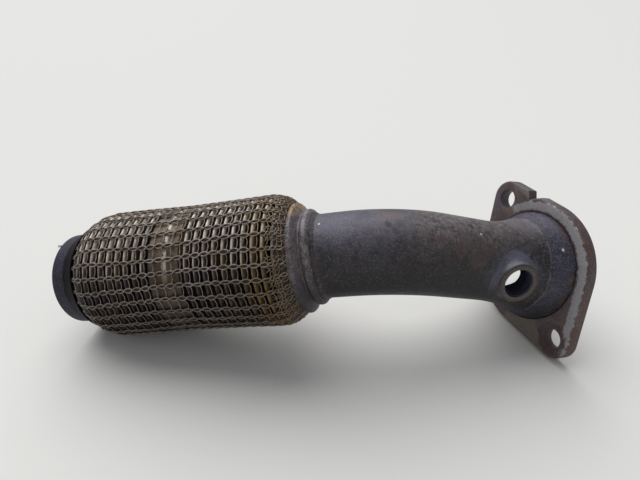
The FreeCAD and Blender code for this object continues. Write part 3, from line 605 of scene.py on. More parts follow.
def make_speckle_group():
    """Light specks and dark pits over a colour, from the masks of the surface grain."""
    grey = (0.5, 0.5, 0.5, 1.0)
    inputs = {"Colour": grey, "Light": grey, "Dark": grey}
    inputs |= {"Amount": 0.4, "Fine": 0.5, "Specks": 0.0, "Pits": 0.0}
    n, given, out = new_group("speckle", inputs, ("Colour",))
    fine, tone = given["Fine"], given["Colour"]
    coats = (
        ("Light", n.span(fine, 0.46, 0.66), 0.55),
        ("Dark", n.span(fine, 0.5, 0.34), 0.8),
        ("Light", given["Specks"], 1.0),
        ("Dark", given["Pits"], 1.0),
    )
    for side, mask, share in coats:
        tone = n.mix(n.times(mask, n.times(given["Amount"], share)), tone, given[side])
    n.put(out["Colour"], tone)


def make_worn_highlit_edges_group():
    """Convex edges, where scale wears off, lightened also as a painted edge highlight."""
    n, _, out = new_group("worn_edges", {}, ("Mask",))
    pointiness = n.add("ShaderNodeNewGeometry").outputs["Pointiness"]
    n.put(out["Mask"], n.span(pointiness, 0.52, 0.58))


def make_upper_group():
    """A mask between two heights along an upward direction."""
    inputs = {"Vector": None, "Up": None, "Low": 0.0, "High": 0.01}
    n, given, out = new_group("upper_side", inputs, ("Mask",))
    sockets = {0: given["Vector"], 1: given["Up"]}
    height = n.add("ShaderNodeVectorMath", sockets, operation="DOT_PRODUCT").outputs["Value"]
    n.put(out["Mask"], n.span(height, given["Low"], given["High"]))


def make_groups():
    make_grain_group()
    make_rust_group()
    make_spot_group()
    make_speckle_group()
    make_worn_highlit_edges_group()
    make_upper_group()


class Paint(Nodes):
    """A worn steel finish, laid in coats over a first colour, with positions in a frame."""

    def __init__(self, name, at=None, scale=1.0):
        self.material = bpy.data.materials.new(name)
        self.material.use_nodes = True
        super().__init__(self.material.node_tree)
        self.tree.nodes.clear()
        self.shader = self.add("ShaderNodeBsdfPrincipled")
        output = self.add("ShaderNodeOutputMaterial")
        self.tree.links.new(self.shader.outputs["BSDF"], output.inputs["Surface"])
        self.vector = self.add("ShaderNodeTexCoord").outputs["Object"]
        if at is not None:
            sockets = {"Vector": self.vector, "Location": at.translation, "Rotation": at.to_euler()}
            self.vector = self.add("ShaderNodeMapping", sockets, vector_type="TEXTURE").outputs["Vector"]
        self.grain = self.group("surface_grain", Vector=self.vector, Scale=scale)
        self.fine, self.patches = self.grain["Fine"], self.grain["Patches"]
        self.x, self.y, self.z = self.add("ShaderNodeSeparateXYZ", {0: self.vector}).outputs

    def start(self, first, second, share):
        self.colour = self.mix(share, first, second)

    def coat(self, tone, mask, share=1.0):
        """Lay a share of a tone over the colour where the mask says."""
        self.colour = self.mix(mask if share == 1.0 else self.times(mask, share), self.colour, tone)

    def speckle(self, light, dark, amount):
        """Light specks and dark pits over the colour."""
        masks = {key: self.grain[key] for key in ("Fine", "Specks", "Pits")}
        tones = {"Colour": self.colour, "Light": light, "Dark": dark}
        self.colour = self.group("speckle", Amount=amount, **tones, **masks)["Colour"]

    def wear_and_highlight(self, tone, share):
        """Convex edges, where scale wears off, lightened also as a painted edge highlight."""
        self.coat(tone, self.group("worn_edges")["Mask"], share)

    def cloud(self, *form):
        return self.noise(self.vector, *form)

    def uneven(self, reach, *form):
        """Noise about zero, over a reach in millimetres."""
        return self.times(self.minus(self.cloud(*form), 0.5), reach * MM)

    def upper(self, low, high):
        """Mask of the part's upper side as it lies, between heights in millimetres."""
        turned = settings("coupling").cap_lean_up
        up = (0.0, math.cos(turned), math.sin(turned))
        return self.group("upper_side", Vector=self.vector, Up=up, Low=low * MM, High=high * MM)["Mask"]

    def rust(self, amount, scale=1.0):
        return self.group("rust_patches", Vector=self.vector, Amount=amount, Scale=scale)["Mask"]

    def spot(self, centre, radius, softness, ragged):
        """Mask of a spot about a point in metres, with its sizes in millimetres."""
        sizes = {"Radius": radius * MM, "Softness": softness * MM, "Ragged": ragged * MM}
        return self.group("spot", Vector=self.vector, Centre=tuple(centre), **sizes)["Mask"]

    def finish(self, metallic, smooth, rough, bump):
        """The material, with the colour, uneven roughness and bump on its shader."""
        self.put(self.shader.inputs["Base Color"], self.colour)
        self.shader.inputs["Metallic"].default_value = metallic
        self.put(self.shader.inputs["Roughness"], self.span(self.fine, 0.3, 0.7, smooth, rough))
        sockets = {"Height": self.grain["Height"], "Strength": bump, "Distance": 0.4 * MM}
        self.put(self.shader.inputs["Normal"], self.add("ShaderNodeBump", sockets).outputs["Normal"])
        return self.material


def plain_steel(
    name, light, dark, rust, amount, metallic=0.4, rough=(0.5, 0.75), bump=0.8, specks=0.4, edges=0.35
):
    """Scaled steel with patches, specks, a rust film and worn edges, lightened also as a painted edge
    highlight.
    """
    p = settings("palette")
    paint = Paint(name)
    paint.start(dark, light, paint.patches)
    paint.coat(rust, paint.rust(amount), 0.6)
    paint.speckle(p.speck, p.pit, specks)
    paint.wear_and_highlight(p.flange_grey, edges)
    return paint.finish(metallic, *rough, bump)


# Caps, their welds and the cut tube's stub


def left_cap_path(c):
    cut = -c.length
    shoulder = cut + c.collar_length
    lip = shoulder + c.flare_length
    inner = c.collar_radius - c.cap_wall
    fine = 0.35 * MM
    return softened(
        [
            (cut, inner + fine / 2, fine),
            (cut, c.collar_radius, 0.5 * MM),
            (shoulder, c.collar_radius, 9 * MM),
            (lip - 3.2 * MM, c.flare_radius - 2.6 * MM, 5 * MM),
            (lip - 0.6 * MM, c.flare_radius, 0.5 * MM),
            (lip, c.flare_radius - c.skirt_wall / 2, 0.5 * MM),
            (lip - 0.4 * MM, c.flare_radius - c.skirt_wall, 0.4 * MM),
            (shoulder + c.cap_wall, inner, 7 * MM),
            (cut, inner, fine),
        ],
        steps=8,
    )


def right_cap_path(c):
    end = c.rim_front + c.neck_length
    inner = c.neck_radius - c.cap_wall
    return softened(
        [
            (-c.rim_back, c.rim_radius - c.skirt_wall, 0.2 * MM),
            (-c.rim_back, c.rim_radius - 0.1 * MM, 0.6 * MM),
            (-c.rim_back + 2.8 * MM, c.rim_radius + 0.3 * MM, 1.6 * MM),
            (c.rim_front - 0.4 * MM, c.neck_radius - 1.6 * MM, 3.4 * MM),
            (c.rim_front + 1.8 * MM, c.neck_radius + 0.5 * MM, 2.4 * MM),
            (c.rim_front + 4.0 * MM, c.neck_radius + 0.1 * MM, 2.4 * MM),
            (end, c.neck_radius - 1.8 * MM, 1.2 * MM),
            (end, inner, 0.2 * MM),
            (c.rim_front - c.skirt_wall, inner, 0.6 * MM),
            (-c.rim_back + 2.2 * MM, c.rim_radius - c.skirt_wall, 0.8 * MM),
        ],
        steps=8,
    )


def cap_lean(c, a):
    """How far the end cap's lean moves a point at an angle round the axis."""
    return -c.rim_radius * math.tan(c.cap_lean) * math.cos(a - c.cap_lean_up)


def burr_curls(c):
    """Three torn strips that curl off the collar's cut edge."""
    curls = []
    for reach, drop, lift in ((2.4, 0.3, 1.3), (1.7, 1.2, 0.9), (1.2, -0.8, 0.6)):
        curl = []
        for t in shares(8):
            a = c.burr_angle + (drop * t + 0.5 * math.sin(2.6 * t)) * MM / c.collar_radius
            r = c.collar_radius - 0.3 * MM + lift * MM * math.sin(math.pi * 0.8 * t)
            curl.append(about_x(-c.length - (reach * t - 0.8) * MM, r, a))
        curls.append(curl)
    return curls


def collar_material():
    c, tube, p = settings("coupling", "tube", "palette")
    paint = Paint("collar_scale", coupling_frame())
    paint.start(p.pipe_dark, p.collar, paint.patches)
    paint.speckle(p.speck, p.pit, 0.22)
    shoulder = c.collar_length - c.length
    # Painted shade on the flare, from the shoulder to the lip
    place = paint.plus(paint.x, paint.uneven(4, 150.0))
    paint.coat(p.flare, paint.span(place, shoulder - 1.8 * MM, shoulder + 0.6 * MM))
    bore = tube.radius - 0.3 * MM
    paint.coat(p.soot, paint.span(paint.reach(paint.y, paint.z), bore, bore - 0.8 * MM))
    paint.wear_and_highlight(p.flange_grey, 0.3)
    paint.shader.inputs["Specular IOR Level"].default_value = 0.15
    return paint.finish(0.0, 0.5, 0.72, 0.45)


def cap_material():
    c, p = settings("coupling", "palette")
    paint = Paint("cap_scale", coupling_frame())
    paint.start(p.pipe_brown, p.cap, paint.span(paint.patches, 0.0, 1.0, 0.4, 1.0))
    paint.coat(p.pipe_brown, paint.rust(0.5, 1.6), 0.45)
    # below: painted shade on the cap's lower side
    below = paint.upper(2, -26)
    paint.coat(p.pipe_dark, below, 0.7)
    top = paint.times(paint.ramp(paint.x, 4.0, 1.0), paint.upper(20, 30))
    paint.coat(p.gold, paint.times(top, paint.span(paint.fine, 0.4, 0.55, 0.3, 0.85)))
    clouds = paint.cloud(260.0, 5.0, 0.7)
    paint.coat(p.pipe_dark, paint.span(clouds, 0.5, 0.38), 0.75)
    paint.coat(p.cap_speck, paint.span(clouds, 0.54, 0.66), 0.2)
    paint.speckle(p.cap_speck, p.pit, 0.62)
    # Painted light in the groove between rim and bead, lifting its shade
    groove = paint.away(paint.x, c.rim_front - 0.4 * MM)
    paint.coat(p.cap, paint.ramp(groove, 2.4, 0.6), 0.25)
    # More painted shade on the cap's lower side
    paint.coat(p.pit, below, 0.7)
    paint.wear_and_highlight(p.flange_grey, 0.3)
    return paint.finish(0.35, 0.42, 0.66, 0.6)


class MUFFLER_OT_caps(bpy.types.Operator):
    """Build the cut collar, the end cap, the tube's stub and their welds"""

    bl_idname = "muffler.caps"
    bl_label = "Caps and Welds"

    def execute(self, context):
        c, tube, p = settings("coupling", "tube", "palette")
        at, seat = coupling_frame(), tube.radius + SEAT
        collar, cap = collar_material(), cap_material()
        weld = plain_steel("weld_scale", p.pipe_dark, p.pipe_low, p.pipe_brown, 0.5, specks=0.3, edges=0.05)
        burr = plain_steel("burr_steel", p.speck, p.collar, p.rust, 0.3, 0.6, (0.35, 0.5), 0.5)

        def dented(x, r, a):
            return x, r + c.cap_dent * ring_wave(x / MM, a, 1.3, 0.06, 3.0)

        def leaning(x, r, a):
            return x + cap_lean(c, a), r + c.cap_dent * 5 / 3 * ring_wave(x / MM, a, 2.2, 0.1, 3.0)

        mesh = revolved(left_cap_path(c), CAP_ROUND, dented)
        make_piece("left_cap_look", mesh, at, collar, "left_cap")
        make_piece("collar_burr", wires(burr_curls(c), 0.22 * MM, 6), at, burr)
        mesh = revolved(right_cap_path(c), CAP_ROUND, leaning)
        make_piece("right_cap_look", mesh, at, cap, "right_cap")

        start = c.rim_front + c.neck_length + SEAT
        outer = c.neck_radius - 1.9 * MM
        bead = [
            (start - 0.3 * MM, seat),
            (start - 0.3 * MM, outer, 0.3 * MM),
            (start + c.weld_leg * 0.3, outer - 0.5 * MM, 1.6 * MM),
            (start + c.weld_leg, seat),
        ]

        def rippled(x, r, a):
            share = (x - start) / c.weld_leg
            along = share * 0.35 * MM * ring_wave(0, a, 5.0, 1.0, 8.0)
            return x + along + cap_lean(c, a), r + 0.08 * MM * share * math.sin(a * 46)

        mesh = revolved(softened(bead), WELD_ROUND, rippled)
        make_piece("right_cap_weld_look", mesh, at, weld, "right_cap_weld")

        cut = -c.length
        outer = c.collar_radius - c.cap_wall - SEAT
        root = [
            (cut + 0.5 * MM, seat),
            (cut + 0.15 * MM, (seat + outer) / 2, 1.0 * MM),
            (cut + 0.5 * MM, outer),
            (cut + 1.6 * MM, outer),
            (cut + 1.6 * MM, seat),
        ]
        mesh = revolved(softened(root), CAP_ROUND)
        make_piece("left_cap_weld_look", mesh, at, weld, "left_cap_weld")
        end = cut + c.collar_length + c.flare_length
        inner, edge = tube.radius - tube.wall, 0.2 * MM
        stub = [(cut, inner, edge), (cut, tube.radius, edge), (end, tube.radius, edge), (end, inner, edge)]
        mesh = revolved(softened(stub), ROUND)
        make_piece("pipe_stub_look", mesh, at, collar, "pipe_stub")
        return {"FINISHED"}


# Bellows and inner hose


def sleeve_radius(c, x):
    """Outside of the knitted sleeve at a place along the coupling, smoothed."""
    k = settings("knit")
    lip, waist, back = c.collar_length + c.flare_length - c.length, k.waist_place - c.length, -c.rim_back
    left_drops = ((0, 7.5), (3, 4.8), (8, 1.6), (15, 0))
    right_drops = ((12.4, 0), (6.4, 1.3), (3, 3.3), (0.6, 6), (-1.2, 8))
    profile = [(lip + past * MM, k.left_shoulder - drop * MM) for past, drop in left_drops]
    left_slope, right_slope = 29 * MM, 28 * MM
    profile.append((waist - left_slope, k.left_shoulder - 0.4 * MM))
    profile += [(waist, k.waist), (waist + right_slope, k.waist + 0.2 * MM)]
    profile += [(back - before * MM, k.right_shoulder - drop * MM) for before, drop in right_drops]
    near = [x + 0.6 * MM * step for step in range(-3, 4)]
    return float(np.mean(np.interp(near, *zip(*profile))))


def crest_places(c):
    left = [-c.left_crest + c.left_pitch * k for k in range(c.left_count)]
    right = [-c.right_crest - c.right_pitch * k for k in range(c.right_count)]
    return left, sorted(right)


def bellows_radius(c, x, left, right):
    nearest = min(left + right, key=lambda place: abs(place - x))
    pitch = c.left_pitch if nearest in left else c.right_pitch
    away = abs(x - nearest) / (pitch / 2)
    cap = min(c.crest_radius, sleeve_radius(c, x) - 1.15 * MM)
    if left[-1] + c.left_pitch * 0.75 < x < right[0] - c.right_pitch * 0.75:
        ridge = math.exp(-(((x + c.ridge_place) / (1.1 * MM)) ** 2))
        return cap - 0.9 * MM + 0.8 * MM * ridge
    lobe = 0.5 + 0.5 * math.cos(math.pi * min(away, 1.0))
    return c.valley_radius + (cap - c.valley_radius) * lobe**0.6


def bellows_material(c, p, left, right):
    paint = Paint("bellows_stain", coupling_frame(), 1.3)
    # depth runs from the valleys to the crests and lays painted shade in the valleys
    depth = paint.span(paint.reach(paint.y, paint.z), c.crest_radius - 3.6 * MM, c.crest_radius - 1.5 * MM)
    high = paint.upper(-24, 22)
    right_group = paint.span(paint.x, -c.ridge_place - MM, -c.ridge_place + MM)
    phases = []
    for first, pitch in ((left[0], c.left_pitch), (right[0], c.right_pitch)):
        share = paint.maths("DIVIDE", paint.minus(paint.x, first), pitch)
        phases.append(paint.minus(paint.maths("FRACT", paint.plus(share, 50.5)), 0.5))
    phase = paint.plus(phases[0], paint.times(right_group, paint.minus(phases[1], phases[0])))
    # lit: painted light on each crest's left flank, wider on the upper side; the crest colour above and the
    # bar colour below are painted light and shade
    lit = paint.span(paint.minus(phase, paint.times(high, 0.34)), -0.08, -0.24)
    paint.start(p.bar, p.crest, paint.span(high, 0.1, 0.75))
    paint.coat(p.bar, paint.span(paint.fine, 0.4, 0.65), 0.4)
    paint.coat(p.bar, paint.patches, 0.35)
    # shaded: painted shade, valley colour below and bar colour above; folds puts it beyond each lit flank
    # and in the valleys
    shaded = paint.mix(paint.times(high, 0.8), p.valley, p.bar)
    folds = paint.mix(depth, p.valley, paint.mix(lit, shaded, paint.colour))

    edges = (left[-1] + 2 * MM, left[-1] + 4 * MM), (right[0] - 2 * MM, right[0] - 4 * MM)
    middle = paint.times(*(paint.span(paint.x, *edge) for edge in edges))
    paint.start(p.band_dark, p.middle, paint.span(paint.fine, 0.4, 0.6))
    paint.coat(p.middle, paint.patches, 0.4)
    paint.coat(p.band_dark, paint.span(paint.cloud(240.0, 5.0, 0.7), 0.52, 0.62), 0.75)
    # Painted shade on the plain middle's lower side
    paint.coat(p.band_dark, paint.upper(20, -10))
    paint.start(folds, paint.colour, middle)
    # Painted highlight along the low ridge's upper side, in patches
    ridge = paint.ramp(paint.away(paint.x, -c.ridge_place), 1.9, 0.9)
    ridge = paint.times(ridge, paint.upper(-12, 10))
    paint.coat(p.crest, paint.times(ridge, paint.span(paint.cloud(160.0), 0.38, 0.5)), 0.85)
    paint.coat(p.gold, paint.times(paint.ramp(paint.x, -30, -16), depth), 0.3)
    paint.coat(p.burnt, paint.times(paint.rust(0.44, 0.8), paint.minus(1.0, middle)), 0.45)
    paint.coat(p.ochre, paint.rust(0.45), 0.3)
    return paint.finish(0.15, 0.4, 0.62, 0.4)


class MUFFLER_OT_bellows(bpy.types.Operator):
    """Build the bellows under the knitted sleeve and the inner hose"""

    bl_idname = "muffler.bellows"
    bl_label = "Bellows and Hose"

    def execute(self, context):
        c, tube, p = settings("coupling", "tube", "palette")
        at = coupling_frame()
        left, right = crest_places(c)
        start, end = -c.length + 1.9 * MM, c.rim_front + c.neck_length
        cuff = tube.radius + c.cuff
        first, last = left[0] - 2.6 * MM, right[-1] + 2.2 * MM
        path = [(start, cuff), (left[0] - 4.5 * MM, cuff)]
        for x in (first + (last - first) * t for t in shares(BELLOWS_ROWS)):
            path.append((x, bellows_radius(c, x, left, right)))
        path += [(last + 0.8 * MM, cuff), (end, cuff), (end, cuff - c.sheet), (start, cuff - c.sheet)]

        def stretched(x, r, a):
            return x + 0.22 * MM * ring_wave(x / MM, a, 1.2, 0.12, 5.0), r

        material = bellows_material(c, p, left, right)
        mesh = revolved(path, ROUND, stretched)
        make_piece("bellows_look", mesh, at, material, "bellows", 60.0)

        soot = plain_steel("liner_soot", p.soot, p.soot, p.rust, 0.5, 0.3, (0.6, 0.9), 0.5)
        inner, outer, folds = tube.radius - 0.6 * MM, tube.radius + 0.2 * MM, 32
        places = [(start + (end - start) * k / folds, k % 2) for k in range(folds + 1)]
        hose = [(start, inner), (start, outer)]
        hose += [(x, outer - 0.3 * MM * odd) for x, odd in places]
        hose += [(x, inner - 0.1 * MM * odd) for x, odd in reversed(places)]
        make_piece("liner_look", revolved(hose, HOSE_ROUND), at, soot, "liner")
        return {"FINISHED"}


# Knitted sleeve


def course_places(c):
    """Where the loops of a row are widest, from the collar to the rim."""
    k = settings("knit")
    left, right = ([x - k.loop_shift for x in group] for group in crest_places(c))
    lip = -c.length + c.collar_length + c.flare_length
    places = [x - c.left_pitch / 2 for x in left] + [left[-1] + c.left_pitch / 2]
    gap = right[0] - c.right_pitch / 2 - places[-1]
    extra = max(1, round(gap / c.left_pitch)) - 1
    places += [places[-1] + gap * (step + 1) / (extra + 1) for step in range(extra)]
    places += [x - c.right_pitch / 2 for x in right]
    places = [x for x in places if lip + 3.4 * MM < x < -c.rim_back - 7.0 * MM]
    places = [lip - 0.5 * MM, lip + 1.6 * MM] + places
    while places[-1] < -c.rim_back - k.crowded:
        places.append(places[-1] + k.crowded)
    return places + [-c.rim_back + 1.0 * MM]


def wire_material():
    c, p = settings("coupling", "palette")
    paint = Paint("knit_wire_steel", coupling_frame())
    paint.start(p.wire_dark, p.wire, paint.patches)
    # Painted highlights on the wire, at random
    paint.coat(p.wire_light, paint.span(paint.fine, 0.4, 0.68), 0.7)
    # Painted shade on the wire's lower side
    paint.coat(p.wire_dark, paint.upper(8, -30), 0.55)
    near_rim = paint.span(paint.x, -34 * MM, -c.rim_back - 4 * MM)
    paint.coat(p.ochre, paint.times(paint.rust(0.66), near_rim), 0.55)
    paint.coat(p.rust, paint.rust(0.34, 1.7), 0.35)
    return paint.finish(0.5, 0.36, 0.6, 0.3)


# Dark inner layer of the knit: soot, and the painted shade under each row
def back_material():
    p = settings("palette")
    paint = Paint("knit_back_soot", scale=1.6)
    paint.start(p.back, p.bar, paint.span(paint.fine, 0.45, 0.7, 0.0, 0.6))
    return paint.finish(0.2, 0.6, 0.85, 0.6)


class MUFFLER_OT_knit(bpy.types.Operator):
    """Build the knitted wire sleeve loop by loop"""

    bl_idname = "muffler.knit"
    bl_label = "Knitted Sleeve"

    def execute(self, context):
        c, k = settings("coupling", "knit")
        at, places = coupling_frame(), course_places(c)
        courses, chains = len(places), range(k.chains)
        mean_radius = 38 * MM
        lean_from, lean_run = 30 * MM, 26 * MM  # before the rim, where loops take up the cap's lean
        loose_from, loose_run = 20 * MM, 14 * MM  # before the rim, where loops grow uneven
        calm_left, calm_right = 40 * MM, 30 * MM  # from the ends, over which loops wander less
        gather_from = 16 * MM  # before the rim, where the gathered loops start
        dice = random.Random(11)
        jitter = [[[dice.uniform(-1, 1) for _ in range(3)] for _ in range(courses)] for _ in chains]
        wire, back = wire_material(), back_material()

        def clamped(value):
            return max(0.0, min(1.0, value))

        def knot(chain, course):
            """Place and angle of the middle of a loop."""
            x, a = places[course], TAU * chain / k.chains + k.turn
            drift = 0.035 * ring_wave(x / MM, a, 1.1, 0.018, 7.0)
            lean = 1.4 * MM * ring_wave(x / MM, a, 0.9, 0.03, 2.0)
            along, round_axis, _ = jitter[chain % k.chains][course]
            near_cap = clamped((x + lean_from) / lean_run)
            if 0 < course < courses - 1:
                loose = 1 + 1.2 * clamped((x + loose_from) / loose_run)
                wander = min(1.0, (x + c.length) / calm_left, -x / calm_right)
                x += lean * wander + along * k.jitter * loose
                a += round_axis * k.jitter * (loose - 1) / mean_radius
            x += near_cap * cap_lean(c, a)
            return x, a + drift + round_axis * k.jitter / mean_radius

        knots = [[knot(chain, course) for course in range(courses)] for chain in range(k.chains + 1)]

        def point(x, a, drop):
            return about_x(x, sleeve_radius(c, x) - k.chain_wire - drop, a)

        def between(chain, course, t):
            """Place and angle on a row's middle line, on from a loop to the next."""
            (x0, a0), (x1, a1) = knots[chain][course : course + 2]
            return x0 + (x1 - x0) * t, a0 + (a1 - a0) * t

        def row_wire(chain, side, first=0, set_off=0.0, drop=0.0):
            """One wire of a row from a course to the rim, weaving about the row's middle."""
            path = []
            for course in range(first, courses - 1):
                wide0, wide1 = (
                    k.half_band * (1 + 0.25 * jitter[chain][near][2]) for near in (course, course + 1)
                )
                turned = side if course % 2 == 0 else -side
                for t in shares(k.samples)[:-1]:
                    x, a = between(chain, course, t)
                    swing = math.cos(math.pi * t)
                    bulge = turned * math.copysign(abs(swing) ** 0.8, swing)
                    over = turned * math.sin(math.pi * t)
                    a += bulge * (wide0 + (wide1 - wide0) * t) / mean_radius + set_off
                    path.append(point(x, a, drop + k.chain_wire * (0.8 - 0.8 * over)))
            return path

        def knit(name, mesh, material):
            make_piece(name, mesh, at, material, "knit_mesh", 70.0)

        rows = [(chain, side) for chain in chains for side in (-1, 1)]
        for half, part in enumerate((rows[: k.chains], rows[k.chains :])):
            knit(f"knit_rows_{half}", wires([row_wire(*row) for row in part], k.chain_wire, k.sides), wire)

        first = next(i for i, x in enumerate(places) if x > -gather_from)
        half_turn = math.pi / k.chains
        gathers = []
        for chain, side in rows:
            set_off = half_turn * (1 + 0.5 * jitter[chain][0][0])
            gathers.append(row_wire(chain, side, first, set_off, 0.35 * MM))
        knit("knit_gathers", wires(gathers, k.cross_wire, 6), wire)

        # Flat ribbons of inner wire under each row, in the dark colour that paints the shade there
        steps = [(course, step / 4) for course in range(courses - 1) for step in range(4)]
        backs = [[point(*between(chain, *step), k.back_depth) for step in steps] for chain in chains]
        knit("knit_backs", wires(backs, k.back_width / 2, 8, flat=0.12), back)

        def frayed(x, r, a):
            return x, r + 0.25 * MM * ring_wave(x / MM, a, 9.0, 0.5, 4.0)

        lip = -c.length + c.collar_length + c.flare_length
        verts, faces = [], []
        rim = -c.rim_back
        for first, last in ((lip - 0.4 * MM, lip + 6 * MM), (rim - 5.2 * MM, rim + 1.2 * MM)):
            xs = [first + (last - first) * t for t in shares(14)]
            path = [(x, sleeve_radius(c, x) - 1.0 * MM) for x in xs]
            path += [(x, sleeve_radius(c, x) - 1.4 * MM) for x in reversed(xs)]
            faces += grid_faces(len(path), ROUND, start=len(verts))
            verts += revolved(path, ROUND, frayed)[0]
        knit("knit_hems", (verts, faces), back)

        crosses = []
        shift = k.half_band * 0.8 / mean_radius
        for chain in chains:
            for course in range(1, courses - 1):
                (x0, a0), (x1, a1) = knots[chain][course], knots[chain + 1][course]
                bow = k.cross_bow * (1 + 0.45 * jitter[chain][course][2])
                path = []
                for t in shares(8):
                    arch = math.sin(math.pi * t)
                    x = x0 + (x1 - x0) * t + k.cross_place + bow * arch
                    a = a0 + shift + (a1 - a0 - 2 * shift) * t
                    path.append(point(x, a, k.chain_wire * (0.9 + 0.5 * arch)))
                crosses.append(path)
        knit("knit_crosses", wires(crosses, k.cross_wire, 5), wire)
        return {"FINISHED"}


# Tube with its flared end


def bell_growth(tube, share):
    """How much wider the flare is than the tube."""
    return (tube.bell_radius - tube.radius) * share**tube.bell_power


def tube_stations():
    """Centre, heading, lift and growth of the tube's sections from the coupling to the flange."""
    tube, place = settings("tube", "place")
    along, across, bend_end, end = tube_directions()
    start_steps, bend_steps, run_steps, bell_steps = 9, 24, 8, 32
    stations = []
    for t in shares(start_steps)[:-1]:
        x = -tube.insert + (tube.bend_start + tube.insert) * t
        stations.append((Vector((x, 0, 0)), 0.0, 0.0, 0.0))
    for t in shares(bend_steps):
        stations.append((bend_point(tube.bend_angle * t), tube.bend_angle * t, 0.0, 0.0))
    straight = tube.run - tube.bell_length
    for t in shares(run_steps)[1:-1]:
        stations.append((bend_end + along * straight * t, tube.bend_angle, 0.0, 0.0))
    for t in shares(bell_steps):
        centre = end - along * tube.bell_length * (1 - t)
        centre += (Vector((0, 0, place.flange_rise)) - across * place.flange_shift) * t * t
        heading = tube.bend_angle + (place.flange_heading - tube.bend_angle) * t
        stations.append((centre, heading, place.flange_lift * t, bell_growth(tube, t)))
    centre, *last = stations[-1]
    forward = flange_local().to_3x3() @ Vector((0, 0, 1))
    for depth in (0.5, 1.0):
        stations.append((centre + forward * tube.bell_seat * depth, *last))
    return stations


def tube_material():
    p = settings("palette")
    paint = Paint("tube_scale", coupling_frame())
    x = paint.x
    paint.start(p.pipe_dark, p.pipe, paint.patches)
    clouds = paint.cloud(150.0, 6.0, 0.7, 0.3)
    paint.coat(p.pipe, paint.span(clouds, 0.44, 0.6), 0.7)
    paint.coat(p.pipe_dark, paint.span(clouds, 0.5, 0.36), 0.7)
    bend = paint.times(paint.ramp(x, 55, 80), paint.ramp(x, 135, 105))
    dusty = paint.times(bend, paint.span(paint.cloud(420.0, 4.0, 0.7), 0.38, 0.66))
    paint.coat(p.pipe_dust, dusty, 0.74)
    film = paint.rust(0.5)
    paint.coat(p.pipe_brown, film, 0.45)
    # below: painted shade on the tube's underside
    below = paint.upper(12, -20)
    paint.coat(p.pipe_low, below, 0.95)
    paint.coat(p.pipe_blue, paint.times(paint.upper(-4, 16), paint.ramp(x, 80, 20)), 0.5)

    ahead = paint.plus(before_flange(paint), paint.uneven(6, 90.0))
    # top: painted light on the flare's upper side
    top = paint.times(paint.ramp(ahead, 32, 22), paint.upper(-4, 14))
    paint.coat(p.bell, top, 0.78)
    mottle = paint.mix(paint.span(paint.fine, 0.42, 0.6, 0.3, 1.0), p.pipe_dark, p.pipe_blue)
    paint.coat(mottle, paint.ramp(ahead, 14, 10.5), 0.85)
    line = paint.ramp(paint.away(ahead, 13.2 * MM), 0.9, 0.3)
    paint.coat(p.flange_grey, paint.times(line, paint.span(clouds, 0.4, 0.55)), 0.22)
    tint = paint.times(paint.spot(boss_local().translation, 25, 14, 8), paint.upper(-36, -16))
    paint.coat(p.lavender, tint, 0.75)
    paint.coat(p.purple, paint.times(paint.ramp(ahead, 6, 2), film), 0.8)
    # Painted shadow on the flare's lower side, next to the flange
    paint.coat(p.pit, paint.times(paint.ramp(ahead, 13, 6), paint.upper(-30, -46)), 0.6)
    paint.speckle(p.speck, p.pit, 0.42)
    # More painted shade on the underside, fading out between 90 and 112 mm from the rim
    paint.coat(p.pipe_low, paint.times(below, paint.ramp(x, 112, 90)), 0.5)
    tube_marks(paint, p)
    seam = paint.times(paint.ramp(x, 18, 11), paint.span(paint.fine, 0.42, 0.55))
    paint.coat(p.pipe_brown, seam, 0.4)
    paint.coat(p.soot, paint.add("ShaderNodeAttribute", attribute_name="inside").outputs["Fac"])
    return paint.finish(0.35, 0.4, 0.64, 0.5)


def before_flange(paint):
    """Distance of a point before the flange's near face."""
    flange = flange_local()
    normal = flange.to_3x3() @ Vector((0, 0, 1))
    along = paint.add("ShaderNodeVectorMath", {0: paint.vector, 1: tuple(normal)}, operation="DOT_PRODUCT")
    return paint.minus(flange.translation.dot(normal), along.outputs["Value"])


def tube_marks(paint, p):
    """Stains, burnt spots and chips: tone, radius, share and places in millimetres."""
    marks = (
        (p.rust, 5.0, 0.3, ((76.8, -8.7, 0.3), (86.5, -1.3, -4.1), (103.1, 13.0, 1.1))),
        (p.pipe_brown, 9.0, 0.5, ((96.7, 9.0, -8.0), (90.0, 0.0, 2.0))),
        (p.ochre, 5.0, 0.26, ((47.4, -13.5, 17.0), (54.7, -12.7, 16.1))),
        (p.pit, 2.4, 0.75, ((51.2, -18.5, 8.9), (94.1, 9.0, 11.9))),
        (p.pit, 1.6, 0.7, ((126.7, 32.3, -3.1), (129.5, 34.0, -1.0))),
        (p.chip, 1.0, 0.8, ((14.2, -21.0, 12.2), (99.0, 10.7, 7.2), (145.3, 40.2, 1.5))),
    )
    for tone, size, share, places in marks:
        for place in places:
            paint.coat(tone, paint.spot(Vector(place) * MM, size, size * 0.6, size * 1.6), share)


def drill(piece, at, radius, depth):
    """Cut a round hole along a frame's Z through a piece."""
    columns = HOLE_ROUND
    verts = [at @ Vector(v) for v in stacked(((radius, 2 * MM), (radius, -depth)), columns)]
    faces = grid_faces(2, columns, closed=False, flip=True)
    faces += [tuple(range(columns)), tuple(range(2 * columns - 1, columns - 1, -1))]
    mesh = bpy.data.meshes.new("drill")
    mesh.from_pydata(verts, [], faces)
    tool = bpy.data.objects.new("drill", mesh)
    bpy.context.collection.objects.link(tool)
    cut = piece.modifiers.new("hole", "BOOLEAN")
    cut.operation = "DIFFERENCE"
    cut.object = tool
    bpy.context.view_layer.update()
    graph = bpy.context.evaluated_depsgraph_get()
    result = bpy.data.meshes.new_from_object(piece.evaluated_get(graph))
    piece.modifiers.clear()
    piece.data = result
    bpy.data.objects.remove(tool)


